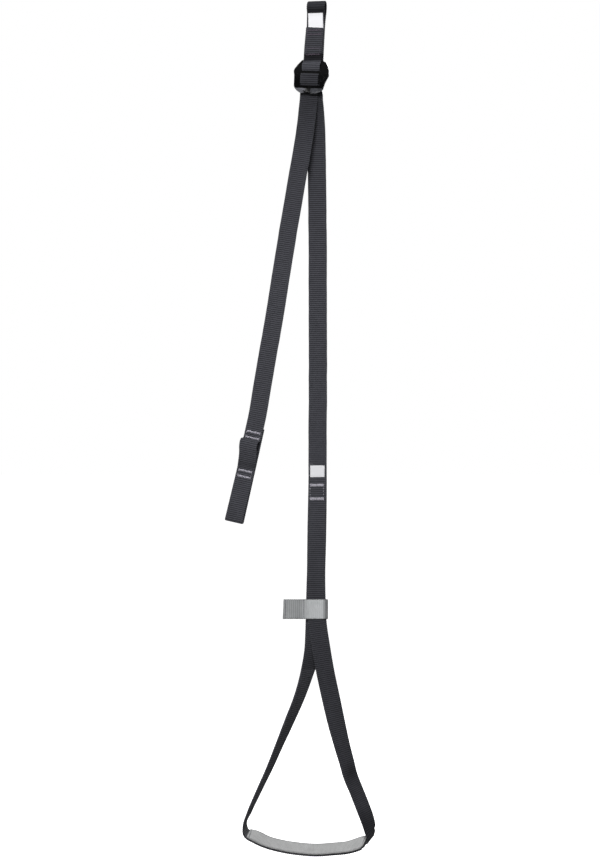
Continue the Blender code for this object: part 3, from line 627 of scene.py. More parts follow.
class Look(Nodes):
    """One material, and the sums that its nodes do."""

    def __init__(self, name):
        self.material = bpy.data.materials.new(name)
        self.material.use_nodes = True
        super().__init__(self.material.node_tree)
        self.shader = self.tree.nodes["Principled BSDF"]

    def math(self, operation, *values):
        return self.add("ShaderNodeMath", enumerate(values), operation=operation).outputs[0]

    def product(self, first, *others):
        for other in others:
            first = self.math("MULTIPLY", first, other)
        return first

    def span(self, value, low, high):
        """A value of 0 to 1 stretched to low to high."""
        return self.math("MULTIPLY_ADD", value, high - low, low)

    def weave_place(self):
        """Across the strip in mm, and along it in ribs."""
        place = self.add("ShaderNodeUVMap", uv_map="weave").outputs[0]
        split = self.add("ShaderNodeSeparateXYZ", {0: place})
        return split.outputs[0], split.outputs[1]

    def noise(self, x, y, x_scale, y_scale):
        scaled = {0: self.product(x, x_scale), 1: self.product(y, y_scale)}
        vector = self.add("ShaderNodeCombineXYZ", scaled).outputs[0]
        texture = self.add("ShaderNodeTexNoise", {"Scale": 1.0, "Detail": 2.0, "Vector": vector})
        return texture.outputs["Fac"]

    def attribute(self, name):
        return self.add("ShaderNodeAttribute", attribute_name=name).outputs["Fac"]

    def waves(self, value):
        """Round humps with sharp valleys at whole numbers."""
        return self.math("ABSOLUTE", self.math("SINE", self.product(value, math.pi)))

    def shaded(self, colour, shade):
        return self.add("ShaderNodeVectorMath", {0: colour, "Scale": shade}, operation="SCALE").outputs[0]

    def bump(self, height, distance, strength):
        inputs = {"Strength": strength, "Distance": distance, "Height": height}
        return self.add("ShaderNodeBump", inputs).outputs[0]

    def set(self, **values):
        for key, value in values.items():
            self.put(self.shader.inputs[key.replace("_", " ")], value)


def woven_look(name, colour, painted_valley_shade, yarn_mm, wear_and_shade):
    """Ribbed webbing: painted shade in the valleys between ribs, yarns side by side in each rib, and its
    edges: lighter with wear on the webbing, darker with painted shade on the pale band and pad.
    """
    look = Look(name)
    across, along = look.weave_place()
    ridge = look.waves(along)
    stagger = look.product(look.math("FLOOR", along), 0.5)
    yarn = look.waves(look.math("ADD", look.math("DIVIDE", across, yarn_mm), stagger))
    fibre = look.noise(across, along, 7.0, 1.6)
    cloud = look.noise(across, along, 0.11, 0.17)
    # Painted shade in the rib valleys, then yarns, fibres, clouds, the edges and the painted shade by place
    shade = look.product(
        look.span(ridge, 1.0 - painted_valley_shade, 1.0),
        look.span(yarn, 0.72, 1.0),
        look.span(fibre, 0.78, 1.22),
        look.span(cloud, 0.84, 1.16),
        look.span(look.attribute("edge_wear_and_shade"), 1.0, wear_and_shade),
        look.attribute("painted_shade_and_tone"),
    )
    look.set(Base_Color=look.shaded(colour, shade), Roughness=look.span(fibre, 0.68, 0.9))
    look.set(Specular_IOR_Level=0.2, Sheen_Weight=0.1, Sheen_Roughness=0.45)
    height = look.math("ADD", look.product(yarn, 0.6), look.product(fibre, 0.5))
    look.set(Normal=look.bump(height, 0.1 * MM, 0.8))
    return look.material


def thread_look(name, colour):
    """Twisted thread: plies wind round it, with a soft gloss."""
    look = Look(name)
    across, along = look.weave_place()
    ply = look.waves(look.math("ADD", look.product(across, 2.0), look.product(along, 1.6)))
    fibre = look.noise(across, along, 3.0, 2.0)
    shade = look.product(look.span(ply, 0.72, 1.0), look.span(fibre, 0.8, 1.2))
    look.set(Base_Color=look.shaded(colour, shade), Roughness=look.span(fibre, 0.45, 0.65))
    look.set(Specular_IOR_Level=0.4, Sheen_Weight=0.2, Normal=look.bump(ply, 0.05 * MM, 0.7))
    return look.material


def label_look():
    """Bare white label: a fine satin weave with a woven edge."""
    look = Look("label_white")
    across, along = look.weave_place()
    warp = look.waves(look.product(across, 2.6))
    weft = look.waves(look.product(along, 6.0))
    fibre = look.noise(across, along, 1.4, 3.0)
    shade = look.product(
        look.span(warp, 0.94, 1.0),
        look.span(weft, 0.95, 1.0),
        look.span(fibre, 0.96, 1.03),
        look.span(look.attribute("edge_wear_and_shade"), 1.0, 0.86),
    )
    look.set(Base_Color=look.shaded((0.93, 0.93, 0.96), shade), Roughness=look.span(fibre, 0.5, 0.7))
    look.set(Specular_IOR_Level=0.35, Sheen_Weight=0.1)
    look.set(Normal=look.bump(look.math("ADD", warp, weft), 0.04 * MM, 0.6))
    return look.material


def metal_look(name, colour, wear_and_shade):
    """Black painted steel: a faint orange peel and small scuffs; its lighter copies are edges with wear and a
    painted highlight, and painted reflections on the lip.
    """
    look = Look(name)
    place = look.add("ShaderNodeTexCoord").outputs["Object"]
    peel = look.add("ShaderNodeTexNoise", {"Scale": 1400.0, "Vector": place}).outputs["Fac"]
    scuff = look.add("ShaderNodeTexNoise", {"Scale": 260.0, "Detail": 5.0, "Vector": place}).outputs["Fac"]
    shade = look.math("POWER", look.span(scuff, 0.4, 1.6), wear_and_shade)
    look.set(Base_Color=look.shaded(colour, shade), Roughness=look.span(scuff, 0.22, 0.42))
    look.set(Specular_IOR_Level=0.4, Normal=look.bump(peel, 0.02 * MM, 0.5))
    return look.material


def stage_look():
    look = Look("pale_floor")
    look.set(Base_Color=(0.9, 0.9, 0.9, 1.0), Roughness=0.9, Specular_IOR_Level=0.1)
    look.set(Emission_Color=(1.0, 1.0, 1.0, 1.0), Emission_Strength=1.0)
    return look.material


def make_looks():
    return {
        # Numbers: colour, painted shade in the rib valleys, yarn width in mm, and the edges' wear and painted
        # shade
        "webbing": woven_look("webbing_woven", (0.078, 0.079, 0.092), 0.82, 0.55, 1.1),
        # The pale band and pad are painted darker at their edges, for shade
        "band": woven_look("band_woven", (0.71, 0.73, 0.74), 0.34, 0.6, 0.7),
        "pad": woven_look("pad_woven", (0.66, 0.665, 0.665), 0.25, 0.6, 0.62),
        "light_thread": thread_look("light_thread_twisted", (0.66, 0.64, 0.72)),
        "pad_thread": thread_look("pad_thread_twisted", (0.3, 0.3, 0.32)),
        "keeper_thread": thread_look("keeper_thread_twisted", (0.12, 0.1, 0.15)),
        "dark_thread": thread_look("dark_thread_twisted", (0.12, 0.095, 0.13)),
        "label": label_look(),
        "metal": metal_look("painted_steel", (0.002, 0.002, 0.0022), 1.0),
        # Lighter edges: wear and a painted highlight
        "metal_edge": metal_look("painted_steel_edge_wear_and_highlight", (0.035, 0.035, 0.04), 2.5),
        # Lighter copies of the paint on the lip: painted reflections, left and right
        "metal_lip_reflection_left": metal_look("painted_steel_lip_reflection_left", (0.16, 0.162, 0.18), 1.5),
        "metal_lip_reflection_right": metal_look("painted_steel_lip_reflection_right", (0.05, 0.052, 0.06), 1.5),
        "stage": stage_look(),
    }


def between(shades, value):
    """The shade at a value, from pairs of a value and its shade in rising order."""
    for (low, above), (high, below) in zip(shades, shades[1:]):
        if value <= high:
            share = max(0.0, (value - low) / (high - low))
            return above + (below - above) * share
    return shades[-1][1]


# Painted light and shade on the webbing: along it, in the right leg's crease, and lighter on the left leg
def webbing_painted_shade(place):
    near = max(0.0, 1 - (place - CREASE_PLACE).length / CREASE_REACH)
    tone = between(PAINTED_SHADE_ALONG, -place.z / MM) * (1 - CREASE_SHADE * near)
    return tone * LEFT_LEG_TONE if place.x < 0 and place.z < LEGS_PART_Z else tone


def band_tone(place):
    return between(BAND_SHADES, place.x / MM)


def pad_tone(place):
    return 1.0


# Meshes


def finished(name, builder, material, smooth_faces=True):
    """Closes a bmesh into a named object with outward faces."""
    bmesh.ops.recalc_face_normals(builder, faces=builder.faces)
    mesh = bpy.data.meshes.new(name)
    builder.to_mesh(mesh)
    builder.free()
    if smooth_faces:
        mesh.polygons.foreach_set("use_smooth", [True] * len(mesh.polygons))
    mesh.materials.append(material)
    obj = bpy.data.objects.new(name, mesh)
    bpy.context.scene.collection.objects.link(obj)
    return obj


def joined(builder, ring, after):
    """Faces between two rings of points, in their order."""
    faces = []
    for k in range(len(ring)):
        m = (k + 1) % len(ring)
        faces.append(builder.faces.new((ring[k], ring[m], after[m], after[k])))
    return faces


class Section:
    """A strip's cross-section, with the height of its ribs and the depth of its selvage notches."""

    def __init__(self, width, thickness, rib=RIB_HEIGHT, notch=SELVAGE_NOTCH):
        self.half_width = width / 2
        self.half_core = thickness / 2 - rib
        self.rib = rib
        self.notch = notch

    def points(self, lift):
        """Across, off the face, and how close to the edge, for each point round the section."""
        notch = self.notch * (1 - lift)
        front = []
        for share in FACE_COLUMNS:
            edge = max(0.0, (abs(share) - SELVAGE_START) / (FACE_COLUMNS[-1] - SELVAGE_START))
            x = share * self.half_width - math.copysign(edge * notch, share)
            y = (self.half_core + self.rib * lift) * (1 - SELVAGE_THINNING * edge**2)
            front.append((x, y, edge))
        rim = self.half_width - notch
        back = [(x, -y, edge) for x, y, edge in reversed(front)]
        return [(-rim, 0.0, 1.0)] + front + [(rim, 0.0, 1.0)] + back


WEBBING_SECTION = Section(WOVEN_WIDTH, STRAP_THICKNESS)


def strip(name, stations, section, material, tone, seed, closed_ends=(True, True), slants=(0.0, 0.0)):
    """A ribbed strip through even stations. A closed end is a raw cut, rounded over and a little ragged."""
    builder = bmesh.new()
    weave = builder.loops.layers.uv.new("weave")
    edge_wear_and_shade = builder.verts.layers.float.new("edge_wear_and_shade")
    # Painted shade and tone by place, as the tone gives it
    painted_shade_and_tone = builder.verts.layers.float.new("painted_shade_and_tone")
    alongs = tangents(centres_of(stations))
    last = len(stations) - 1
    rings = []
    places = {}
    for i, ((centre, side, face), along) in enumerate(zip(stations, alongs)):
        slant = max(0.0, 1 - i / SLANT_RINGS) * slants[0] + max(0.0, 1 - (last - i) / SLANT_RINGS) * slants[1]
        cut = (i == 0 and closed_ends[0]) or (i == last and closed_ends[1])
        ring = []
        for x, y, edge in section.points(RIB_LIFTS[i % RIB_RINGS]):
            ragged = RAGGED * noise.noise(Vector((x / MM * 1.9, seed, i * 3.1))) if cut else 0.0
            shift = slant * x / section.half_width + ragged
            vert = builder.verts.new(centre + side * x + face * y + along * shift)
            vert[edge_wear_and_shade] = 1.0 if cut else edge
            vert[painted_shade_and_tone] = tone(vert.co)
            places[vert] = (x / MM, i / RIB_RINGS)
            ring.append(vert)
        rings.append(ring)
    for ring, after in zip(rings, rings[1:]):
        joined(builder, ring, after)
    for ring in rings[::RIB_RINGS]:
        for corners in zip(ring, ring[1:] + ring[:1]):
            builder.edges.get(corners).smooth = False
    for end, outward in ((0, -alongs[0]), (-1, alongs[-1])):
        if closed_ends[end]:
            close_end(builder, rings[end], stations[end], outward, places)
    for face in builder.faces:
        for loop in face.loops:
            loop[weave].uv = places[loop.vert]
    return finished(name, builder, material)


def close_end(builder, ring, station, outward, places):
    """Rounds a raw end over with one smaller ring and closes it with strips between its two faces."""
    centre, _, face = station
    edge_wear_and_shade = builder.verts.layers.float["edge_wear_and_shade"]
    painted_shade_and_tone = builder.verts.layers.float["painted_shade_and_tone"]
    inner = []
    for vert in ring:
        depth = (vert.co - centre).dot(face)
        made = builder.verts.new(vert.co - face * depth * END_THINNING + outward * END_ROUNDING)
        made[edge_wear_and_shade] = 1.0
        made[painted_shade_and_tone] = vert[painted_shade_and_tone]
        places[made] = places[vert]
        inner.append(made)
    joined(builder, ring, inner)
    count = len(ring)
    half = count // 2
    for k in range(1, half - 1):
        builder.faces.new((inner[k], inner[k + 1], inner[count - k - 1], inner[count - k]))
    builder.faces.new((inner[0], inner[1], inner[count - 1]))
    builder.faces.new((inner[half], inner[half + 1], inner[half - 1]))


def stitched(name, stitches, radius, material):
    """One mesh of many stitches. Each is a start, an end and the normal of what it is sewn to."""
    builder = bmesh.new()
    weave = builder.loops.layers.uv.new("weave")
    for start, end, normal in stitches:
        along = (end - start).normalized()
        side = along.cross(normal).normalized()
        up = side.cross(along)
        rings = []
        for share, height, size in STITCH_RINGS:
            centre = start.lerp(end, share) + normal * radius * height
            ring = []
            for k in range(STITCH_SIDES):
                angle = 2 * math.pi * k / STITCH_SIDES
                offset = side * math.cos(angle) + up * math.sin(angle)
                ring.append(builder.verts.new(centre + offset * (radius * size)))
            rings.append(ring)
        length_mm = (end - start).length / MM
        for i, (ring, after) in enumerate(zip(rings, rings[1:])):
            low, high = STITCH_RINGS[i][0] * length_mm, STITCH_RINGS[i + 1][0] * length_mm
            for k, face in enumerate(joined(builder, ring, after)):
                left, right = k / STITCH_SIDES, (k + 1) / STITCH_SIDES
                for loop, corner in zip(face.loops, ((left, low), (right, low), (right, high), (left, high))):
                    loop[weave].uv = corner
        builder.faces.new(rings[0])
        builder.faces.new(rings[-1])
    return finished(name, builder, material)


def zigzag(rng, count, left, right, top, bottom, jitter):
    """Pairs of (x, z) for a dense bar of zigzag stitches between two heights."""
    pairs = []
    pitch = (right - left) / count
    for i in range(count):
        x = left + pitch * i
        for first, second, start in ((top, bottom, 0.0), (bottom, top, 0.5)):
            a = (x + pitch * start + rng.uniform(-jitter, jitter), first + rng.uniform(-jitter, jitter))
            reached = x + pitch * (start + 0.5)
            b = (reached + rng.uniform(-jitter, jitter), second + rng.uniform(-jitter, jitter))
            pairs.append((a, b))
    return pairs


def on_plane(place, y, pairs):
    """Turns pairs of (x, z) into stitches on a place's plane at depth y, seen from its front."""
    normal = place.to_3x3() @ Vector((0, -1, 0))
    return [(place @ Vector((a[0], y, a[1])), place @ Vector((b[0], y, b[1])), normal) for a, b in pairs]


# Pieces


def attach(piece, body, slot, *nodes):
    """Says what a piece rides on and which of the part's nodes it shows. Its slot is not used."""
    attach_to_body(piece, body)
    if nodes:
        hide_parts(*nodes)


def attach_between(piece, bodies, start, end, *nodes):
    """The same for webbing that flexes between two bodies, from start to end."""
    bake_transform(piece, *bodies, start=start, end=end)
    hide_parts(*nodes)


def webbing(name, stations, looks, seed, closed_ends=(False, False), slants=(0.0, 0.0)):
    return strip(name, stations, WEBBING_SECTION, looks["webbing"], webbing_painted_shade, seed, closed_ends, slants)


def inverse_smoothstep(share):
    return 0.5 - math.sin(math.asin(1 - 2 * min(1.0, max(0.0, share))) / 3)


def feeding_strap(name, stations, bodies, looks, seed):
    """A strap that gets longer or shorter between two bodies. It is cut into stretches, each blended so that
    its ends take the same share of the travel as their place on the strap."""
    first, last = stations[0][0], stations[-1][0]
    direction = (last - first).normalized()
    whole = (last - first).length
    ribs = (len(stations) - 1) // RIB_RINGS
    cuts = [round(ribs * share) * RIB_RINGS for share in FEED_CUTS]
    for k, (low, high) in enumerate(zip(cuts, cuts[1:])):
        piece = webbing(f"{name}_{k + 1}", stations[low : high + 1], looks, seed)
        shares = [(stations[i][0] - first).dot(direction) / whole for i in (low, high)]
        steps = [inverse_smoothstep(share) for share in shares]
        span = (shares[1] - shares[0]) * whole / (steps[1] - steps[0])
        start = first + direction * (shares[0] * whole - steps[0] * span)
        attach_between(piece, bodies, start, start + direction * span, name)


def eye_x(z, back_share=1.0):
    """Where the eye's strap runs at a height: its front end leans more than the layers behind it."""
    lap = EYE_LAP_X + EYE_LAP_LEAN * z
    back = EYE_BACK_X + EYE_BACK_LEAN * z
    return lap + (back - lap) * back_share


def eye_upper_route():
    """The eye above its hinge: up the back, round the roll and down to the middle layer's end."""
    roll = EYE_INNER_RADIUS + HALF_STRAP
    crease = -EYE_CREASE_DEPTH
    points = [
        (EYE_BACK_Y, EYE_HINGE_Z + HALF_STRAP),
        (EYE_BACK_Y, EYE_SEWN_TOP - EYE_SEWN_EASE),
        (EYE_BACK_Y, EYE_SEWN_TOP),
        (EYE_BACK_Y + 0.9 * MM, EYE_NECK_Z),
        (roll - 0.5 * MM, crease),
    ]
    points += arc(0, EYE_TOP_RISE - EYE_INNER_RADIUS, roll, 0, 180, 8)
    points += [
        (-roll + 0.8 * MM, crease + 2.4 * MM),
        (-roll + 2.9 * MM, crease + 0.2 * MM),
        (-roll + 3.9 * MM, crease - 2.6 * MM),
        (-1.2 * MM, EYE_NECK_Z),
        (0, EYE_SEWN_TOP),
        (0, EYE_SEWN_TOP - EYE_SEWN_EASE),
        (0, EYE_MIDDLE_END),
    ]
    return smooth([(eye_x(z), y, z) for y, z in points], FINE_STEP)


def eye_turn_route():
    """The eye's overlapping end: down the front, round the buckle's top bar and up the back."""
    bottom = TOP_BAR_BOTTOM_Z + TURN_EDGE_INSET
    front = [
        (EYE_LAP_Y, EYE_LAP_TOP),
        (EYE_LAP_Y, EYE_SEWN_TOP),
        (EYE_LAP_Y - 0.1 * MM, EYE_HINGE_Z + 7.0 * MM),
        (EYE_LAP_Y + 0.9 * MM, EYE_HINGE_Z),
        (EYE_LAP_Y + 0.3 * MM, EYE_HINGE_Z - 3.0 * MM),
    ]
    bar_y, bar_z = PLATE_Y - TURN_RADIUS - 0.9 * MM, bottom + 3.0 * MM
    turn = arc(PLATE_Y, bottom, TURN_RADIUS, 180, 360, 10)
    back = [
        (PLATE_Y + TURN_RADIUS, bottom + 2.0 * MM),
        (PLATE_Y + TURN_RADIUS, BUCKLE_TOP_Z - 1.0 * MM),
        (EYE_BACK_Y, EYE_HINGE_Z),
    ]
    route = [(eye_x(z, 0.0), y, z) for y, z in front]
    route.append((eye_x(bar_z, 0.0) + EYE_BAR_SHIFT, bar_y, bar_z))
    for i, (y, z) in enumerate(turn):
        behind = max(0.0, 2 * i / len(turn) - 1)
        route.append((eye_x(z, behind) + EYE_BAR_SHIFT * (1 - behind), y, z))
    route += [(eye_x(z), y, z) for y, z in back]
    return smooth(route, FINE_STEP)


def make_eye(looks):
    upper = eye_upper_route()
    stations = evenly(turn_stations(eye_turn_route() + upper))
    eye = webbing("eye_strap", stations, looks, 1.0, (True, True), (EYE_LAP_SLANT, 0.0))
    flexing = (EYE_HINGE_Z + EYE_FLEX_ABOVE, EYE_HINGE_Z - EYE_FLEX_BELOW)
    start, end = (TOP_FRAME @ Vector((eye_x(z), (EYE_LAP_Y + EYE_BACK_Y) / 2, z)) for z in flexing)
    attach_between(eye, ("eye", "buckle"), start, end, "eye_webbing", "eye_turn")
    make_eye_label(upper, looks)
    make_eye_threads(looks)


def make_label(name, stations, width, looks, body, node):
    section = Section(width, LABEL_THICKNESS, rib=0.0, notch=0.0)
    label = strip(name, stations, section, looks["label"], webbing_painted_shade, 2.0)
    attach(label, body, "label", node)


def make_eye_label(upper, looks):
    low, high = EYE_LAP_TOP - EYE_LABEL_TUCK, EYE_LAP_TOP + EYE_LABEL_HEIGHT + GAP
    front = [(EYE_LABEL_X, y, z) for _, y, z in upper if y <= 0 and low < z < high]
    stations = evenly(folded_stations(TOP_FRAME, front), LABEL_PITCH)
    off = moved(stations, -(HALF_STRAP + GAP + LABEL_THICKNESS / 2))
    make_label("label_eye", off, EYE_LABEL_WIDTH, looks, "eye", "eye_label")


def make_eye_threads(looks):
    rng = random.Random(11)
    for node, upper, lower in EYE_TACKS:
        pairs = []
        for top, bottom in (upper, lower):
            x = eye_x(top * MM, 0.0)
            ends = (x - EYE_TACK_HALF_WIDTH, x + EYE_TACK_HALF_WIDTH)
            pairs += zigzag(rng, EYE_TACK_ZIGZAGS, *ends, top * MM, bottom * MM, EYE_TACK_JITTER)
        low, high = lower[0] * MM, upper[1] * MM
        for side in (-1, 1):
            x = eye_x(low, 0.0) + side * EYE_TACK_SIDE_X
            for share in (0.2, 0.7):
                z = low + (high - low) * share
                pairs.append(((x, z), (x, z + EYE_TACK_SIDE_STITCH)))
        stitches = on_plane(TOP_FRAME, EYE_LAP_Y - HALF_STRAP - EYE_TACK_LIFT, pairs)
        thread = stitched("thread_" + node, stitches, EYE_THREAD, looks["dark_thread"])
        attach(thread, "eye", "dark_thread", node)


def make_strap_turn(looks):
    """The strap through the buckle, in two halves: up behind, over the middle bar, down behind the lip."""
    front_y = MIDDLE_BAR_Y - TURN_RADIUS
    back_y = LOAD_HINGE.y
    tail_y = TAIL_HINGE.y
    top_z = MIDDLE_BAR_TOP_Z - TURN_EDGE_INSET
    down = [
        (0, front_y, MIDDLE_BAR_BOTTOM_Z + 2.0 * MM),
        (0, front_y + 0.1 * MM, MIDDLE_BAR_BOTTOM_Z),
        (0, front_y + 1.1 * MM, MIDDLE_BAR_BOTTOM_Z - 2.9 * MM),
        (0, tail_y - 0.2 * MM, LIP_TOP_Z - 1.0 * MM),
        (0, tail_y, LIP_TOP_Z - 3.5 * MM),
        (0, tail_y, STRAP_HINGE_Z),
    ]
    points = [(back_y, STRAP_HINGE_Z), (back_y, (STRAP_HINGE_Z + top_z) / 2)]
    points += arc(MIDDLE_BAR_Y, top_z, TURN_RADIUS, 0, 180, 16)
    points += [(y, z) for _, y, z in smooth(down, FINE_STEP)]
    stations = evenly(turn_stations(drifted(points, LOAD_HINGE.x, TAIL_HINGE.x)))
    highest = max(range(len(stations)), key=lambda i: stations[i][0].z)
    middle = round(highest / RIB_RINGS) * RIB_RINGS
    halves = (
        ("turn_load_side", stations[: middle + 1], "strap", LOAD_HINGE),
        ("turn_tail_side", stations[middle:], "tail", TAIL_HINGE),
    )
    for name, half, body, hinge in halves:
        turn = webbing(name, half, looks, 3.0)
        start = TOP_FRAME @ (hinge + Vector((0, 0, TURN_FLEX)))
        attach_between(turn, ("buckle", body), start, TOP_FRAME @ hinge, "strap_turn")


def below_hinge(hinge, step):
    """A route's first two points, which leave a hinge of the buckle downwards."""
    place = TOP_FRAME @ hinge
    turn = TO_FRONT - math.degrees(TOP_YAW)
    return [(*place, turn), (*(place + Vector(step)), turn)]


def make_load_strap(looks):
    route = below_hinge(LOAD_HINGE, (0, 0, -4 * MM)) + route_in_metres(LOAD_ROUTE)
    route.append((LOAD_STRAP_BOTTOM_X, LOAD_STRAP_BACK_Y, LOAD_STRAP_BOTTOM_Z, TO_FRONT))
    stations = swayed(evenly(turned_stations(route)), 4.0)
    feeding_strap("load_strap", stations, ("strap", "foot_loop"), looks, 4.0)


def make_tail_strap(looks):
    turn = TO_FRONT - math.degrees(TOP_YAW)
    ends = [(*(TAIL_FRAME @ Vector((0, 0, height))), turn) for height in (7 * MM, 0.0)]
    route = below_hinge(TAIL_HINGE, (-0.3 * MM, -0.3 * MM, -4 * MM)) + route_in_metres(TAIL_ROUTE) + ends
    stations = swayed(evenly(turned_stations(route)), 8.0)
    feeding_strap("tail_strap", stations, ("tail", "tail_end"), looks, 8.0)


def make_foot_loop(looks):
    start = (LOAD_STRAP_BOTTOM_X, LOAD_STRAP_BACK_Y, LOAD_STRAP_BOTTOM_Z, TO_FRONT)
    end = (FOOT_LAP_TOP_X, FOOT_FRONT_Y, FOOT_LAP_TOP_Z, -TO_FRONT)
    stations = raked(evenly(turned_stations([start] + route_in_metres(FOOT_ROUTE) + [end])))
    loop = webbing("foot_loop_strap", stations, looks, 5.0, (False, True), (0.0, FOOT_LAP_SLANT))
    attach(loop, "foot_loop", "webbing", "foot_webbing")
    make_pad(stations, looks)
    make_strap_label(looks)
    make_box_tack(looks)


def make_strap_label(looks):
    bottom = FOOT_LAP_TOP_Z + STRAP_LABEL_BOTTOM - STRAP_LABEL_TUCK
    top = FOOT_LAP_TOP_Z + STRAP_LABEL_BOTTOM + STRAP_LABEL_HEIGHT
    y = -(HALF_STRAP + GAP + LABEL_THICKNESS / 2)
    points = [(STRAP_LABEL_X, y, z) for z in (bottom, (bottom + top) / 2, top)]
    stations = evenly(folded_stations(LEVEL, points), LABEL_PITCH)
    make_label("label_strap", stations, STRAP_LABEL_WIDTH, looks, "foot_loop", "strap_label")


def make_box_tack(looks):
    """Two broad zigzag bars, a few stitches down each side, and the raw end's own row above them."""
    rng = random.Random(12)
    pairs = []
    for top, bottom in BOX_BARS:
        pairs += zigzag(rng, BOX_ZIGZAGS, BOX_LEFT, BOX_RIGHT, top * MM, bottom * MM, BOX_JITTER)
    for x, heights in BOX_SIDES:
        for z in heights:
            pairs.append(((x, z * MM), (x + rng.uniform(-0.3, 0.3) * MM, (z - BOX_SIDE_STITCH_MM) * MM)))
    front = FOOT_FRONT_Y - HALF_STRAP
    thread = stitched("thread_box_tack", on_plane(LEVEL, front, pairs), BOX_THREAD, looks["light_thread"])
    attach(thread, "foot_loop", "light_thread", "box_tack")
    row = []
    for i in range(LAP_ROW_COUNT):
        x = LAP_ROW_LEFT + LAP_ROW_PITCH * i
        row.append(((x, LAP_ROW_Z), (x + LAP_ROW_STITCH, LAP_ROW_Z)))
    end_row = stitched("thread_lap_row", on_plane(LEVEL, front, row), LAP_ROW_THREAD, looks["dark_thread"])
    attach(end_row, "foot_loop", "dark_thread")


def pad_range(stations):
    """Numbers of the stations at the pad's two ends."""
    centres = centres_of(stations)
    lengths = running_lengths(centres)
    numbers = range(len(stations))
    middle = min(numbers, key=lambda i: (centres[i] - PAD_MIDDLE).length)
    left = min(numbers, key=lambda i: abs(lengths[i] - (lengths[middle] - PAD_LEFT)))
    right = min(numbers, key=lambda i: abs(lengths[i] - (lengths[middle] + PAD_RIGHT)))
    return left, right


def make_pad(stations, looks):
    """The grey strip on the bar's inner face, sewn down along its edges and across its ends."""
    left, right = pad_range(stations)
    off = HALF_STRAP + PAD_CLEARANCE + PAD_THICKNESS / 2
    under = evenly(moved(stations[left : right + 1], -off), PAD_PITCH)
    section = Section(PAD_WIDTH, PAD_THICKNESS, notch=PAD_NOTCH)
    pad = strip("foot_pad_strip", under, section, looks["pad"], pad_tone, 6.0)
    attach(pad, "foot_loop", "grey_pad", "foot_pad")
    top = moved(under, -PAD_THICKNESS / 2 + PAD_STITCH_SINK)
    inset = PAD_WIDTH / 2 - PAD_STITCH_INSET
    rng = random.Random(13)
    rows = (
        ("front", "stitch", pad_edge_row(top, -inset), PAD_ROW_THREAD),
        ("back", "stitch", pad_edge_row(top, inset), PAD_ROW_THREAD),
        ("left", "tack", pad_end_row(rng, top, PAD_TACK_LEFT, inset), PAD_TACK_THREAD),
        ("right", "tack", pad_end_row(rng, top, len(top) - PAD_TACK_RIGHT, inset), PAD_TACK_THREAD),
    )
    for place, kind, stitches, radius in rows:
        thread = stitched("thread_pad_" + place, stitches, radius, looks["pad_thread"])
        attach(thread, "foot_loop", "light_thread", f"pad_{kind}_{place}")


def pad_edge_row(top, x):
    stitches = []
    for i in range(PAD_ROW_START, len(top) - PAD_ROW_END, PAD_ROW_PITCH):
        start, across, face = top[i]
        stitches.append((start + across * x, top[i + PAD_ROW_STITCH][0] + across * x, -face))
    return stitches


def pad_end_row(rng, top, first, inset):
    """A zigzag between two rings of the pad's strip."""
    stitches = []
    pitch = 2 * inset / PAD_TACK_ZIGZAGS
    second = first + PAD_TACK_STITCH
    for i in range(PAD_TACK_ZIGZAGS):
        for a, b, share in ((first, second, 0.0), (second, first, 0.5)):
            x = -inset + pitch * (i + share)
            start = top[a][0] + top[a][1] * (x + rng.uniform(-0.1, 0.1) * MM)
            stitches.append((start, top[b][0] + top[b][1] * (x + pitch / 2), -top[a][2]))
    return stitches


def keeper_points():
    """The band seen from above: front panel, right turn, back panel, both ending in the tab at the left."""
    front_y = FOOT_FRONT_Y - HALF_STRAP - GAP - KEEPER_THICKNESS / 2
    back_y = HALF_STRAP + GAP + KEEPER_THICKNESS / 2
    tab_front = (front_y + back_y) / 2 - (KEEPER_THICKNESS + GAP) / 2
    tab_back = tab_front + KEEPER_THICKNESS + GAP
    turn_x = KEEPER_RIGHT_X - KEEPER_THICKNESS / 2 - KEEPER_TURN_RADIUS
    points = [
        (KEEPER_END_X, tab_front),
        (KEEPER_END_X + 6.0 * MM, tab_front),
        (KEEPER_FRONT_DIVE_X - 4.4 * MM, tab_front),
        (KEEPER_FRONT_DIVE_X - 2.2 * MM, tab_front - 0.5 * MM),
        (KEEPER_FRONT_DIVE_X - 0.4 * MM, front_y + 0.2 * MM),
        (KEEPER_FRONT_DIVE_X + 1.6 * MM, front_y),
        (0.0, front_y),
        (turn_x - 2.0 * MM, front_y),
    ]
    points += arc(turn_x, front_y + KEEPER_TURN_RADIUS, KEEPER_TURN_RADIUS, -90, 0, 3)
    points += arc(turn_x, back_y - KEEPER_TURN_RADIUS, KEEPER_TURN_RADIUS, 0, 90, 3)
    points += [
        (turn_x - 2.0 * MM, back_y),
        (0.0, back_y),
        (KEEPER_BACK_DIVE_X + 1.6 * MM, back_y),
        (KEEPER_BACK_DIVE_X - 0.6 * MM, back_y - 0.3 * MM),
        (KEEPER_BACK_DIVE_X - 2.4 * MM, tab_back + 0.5 * MM),
        (KEEPER_BACK_DIVE_X - 4.4 * MM, tab_back),
        (KEEPER_END_X + 6.0 * MM, tab_back),
        (KEEPER_END_X, tab_back),
    ]
    return points


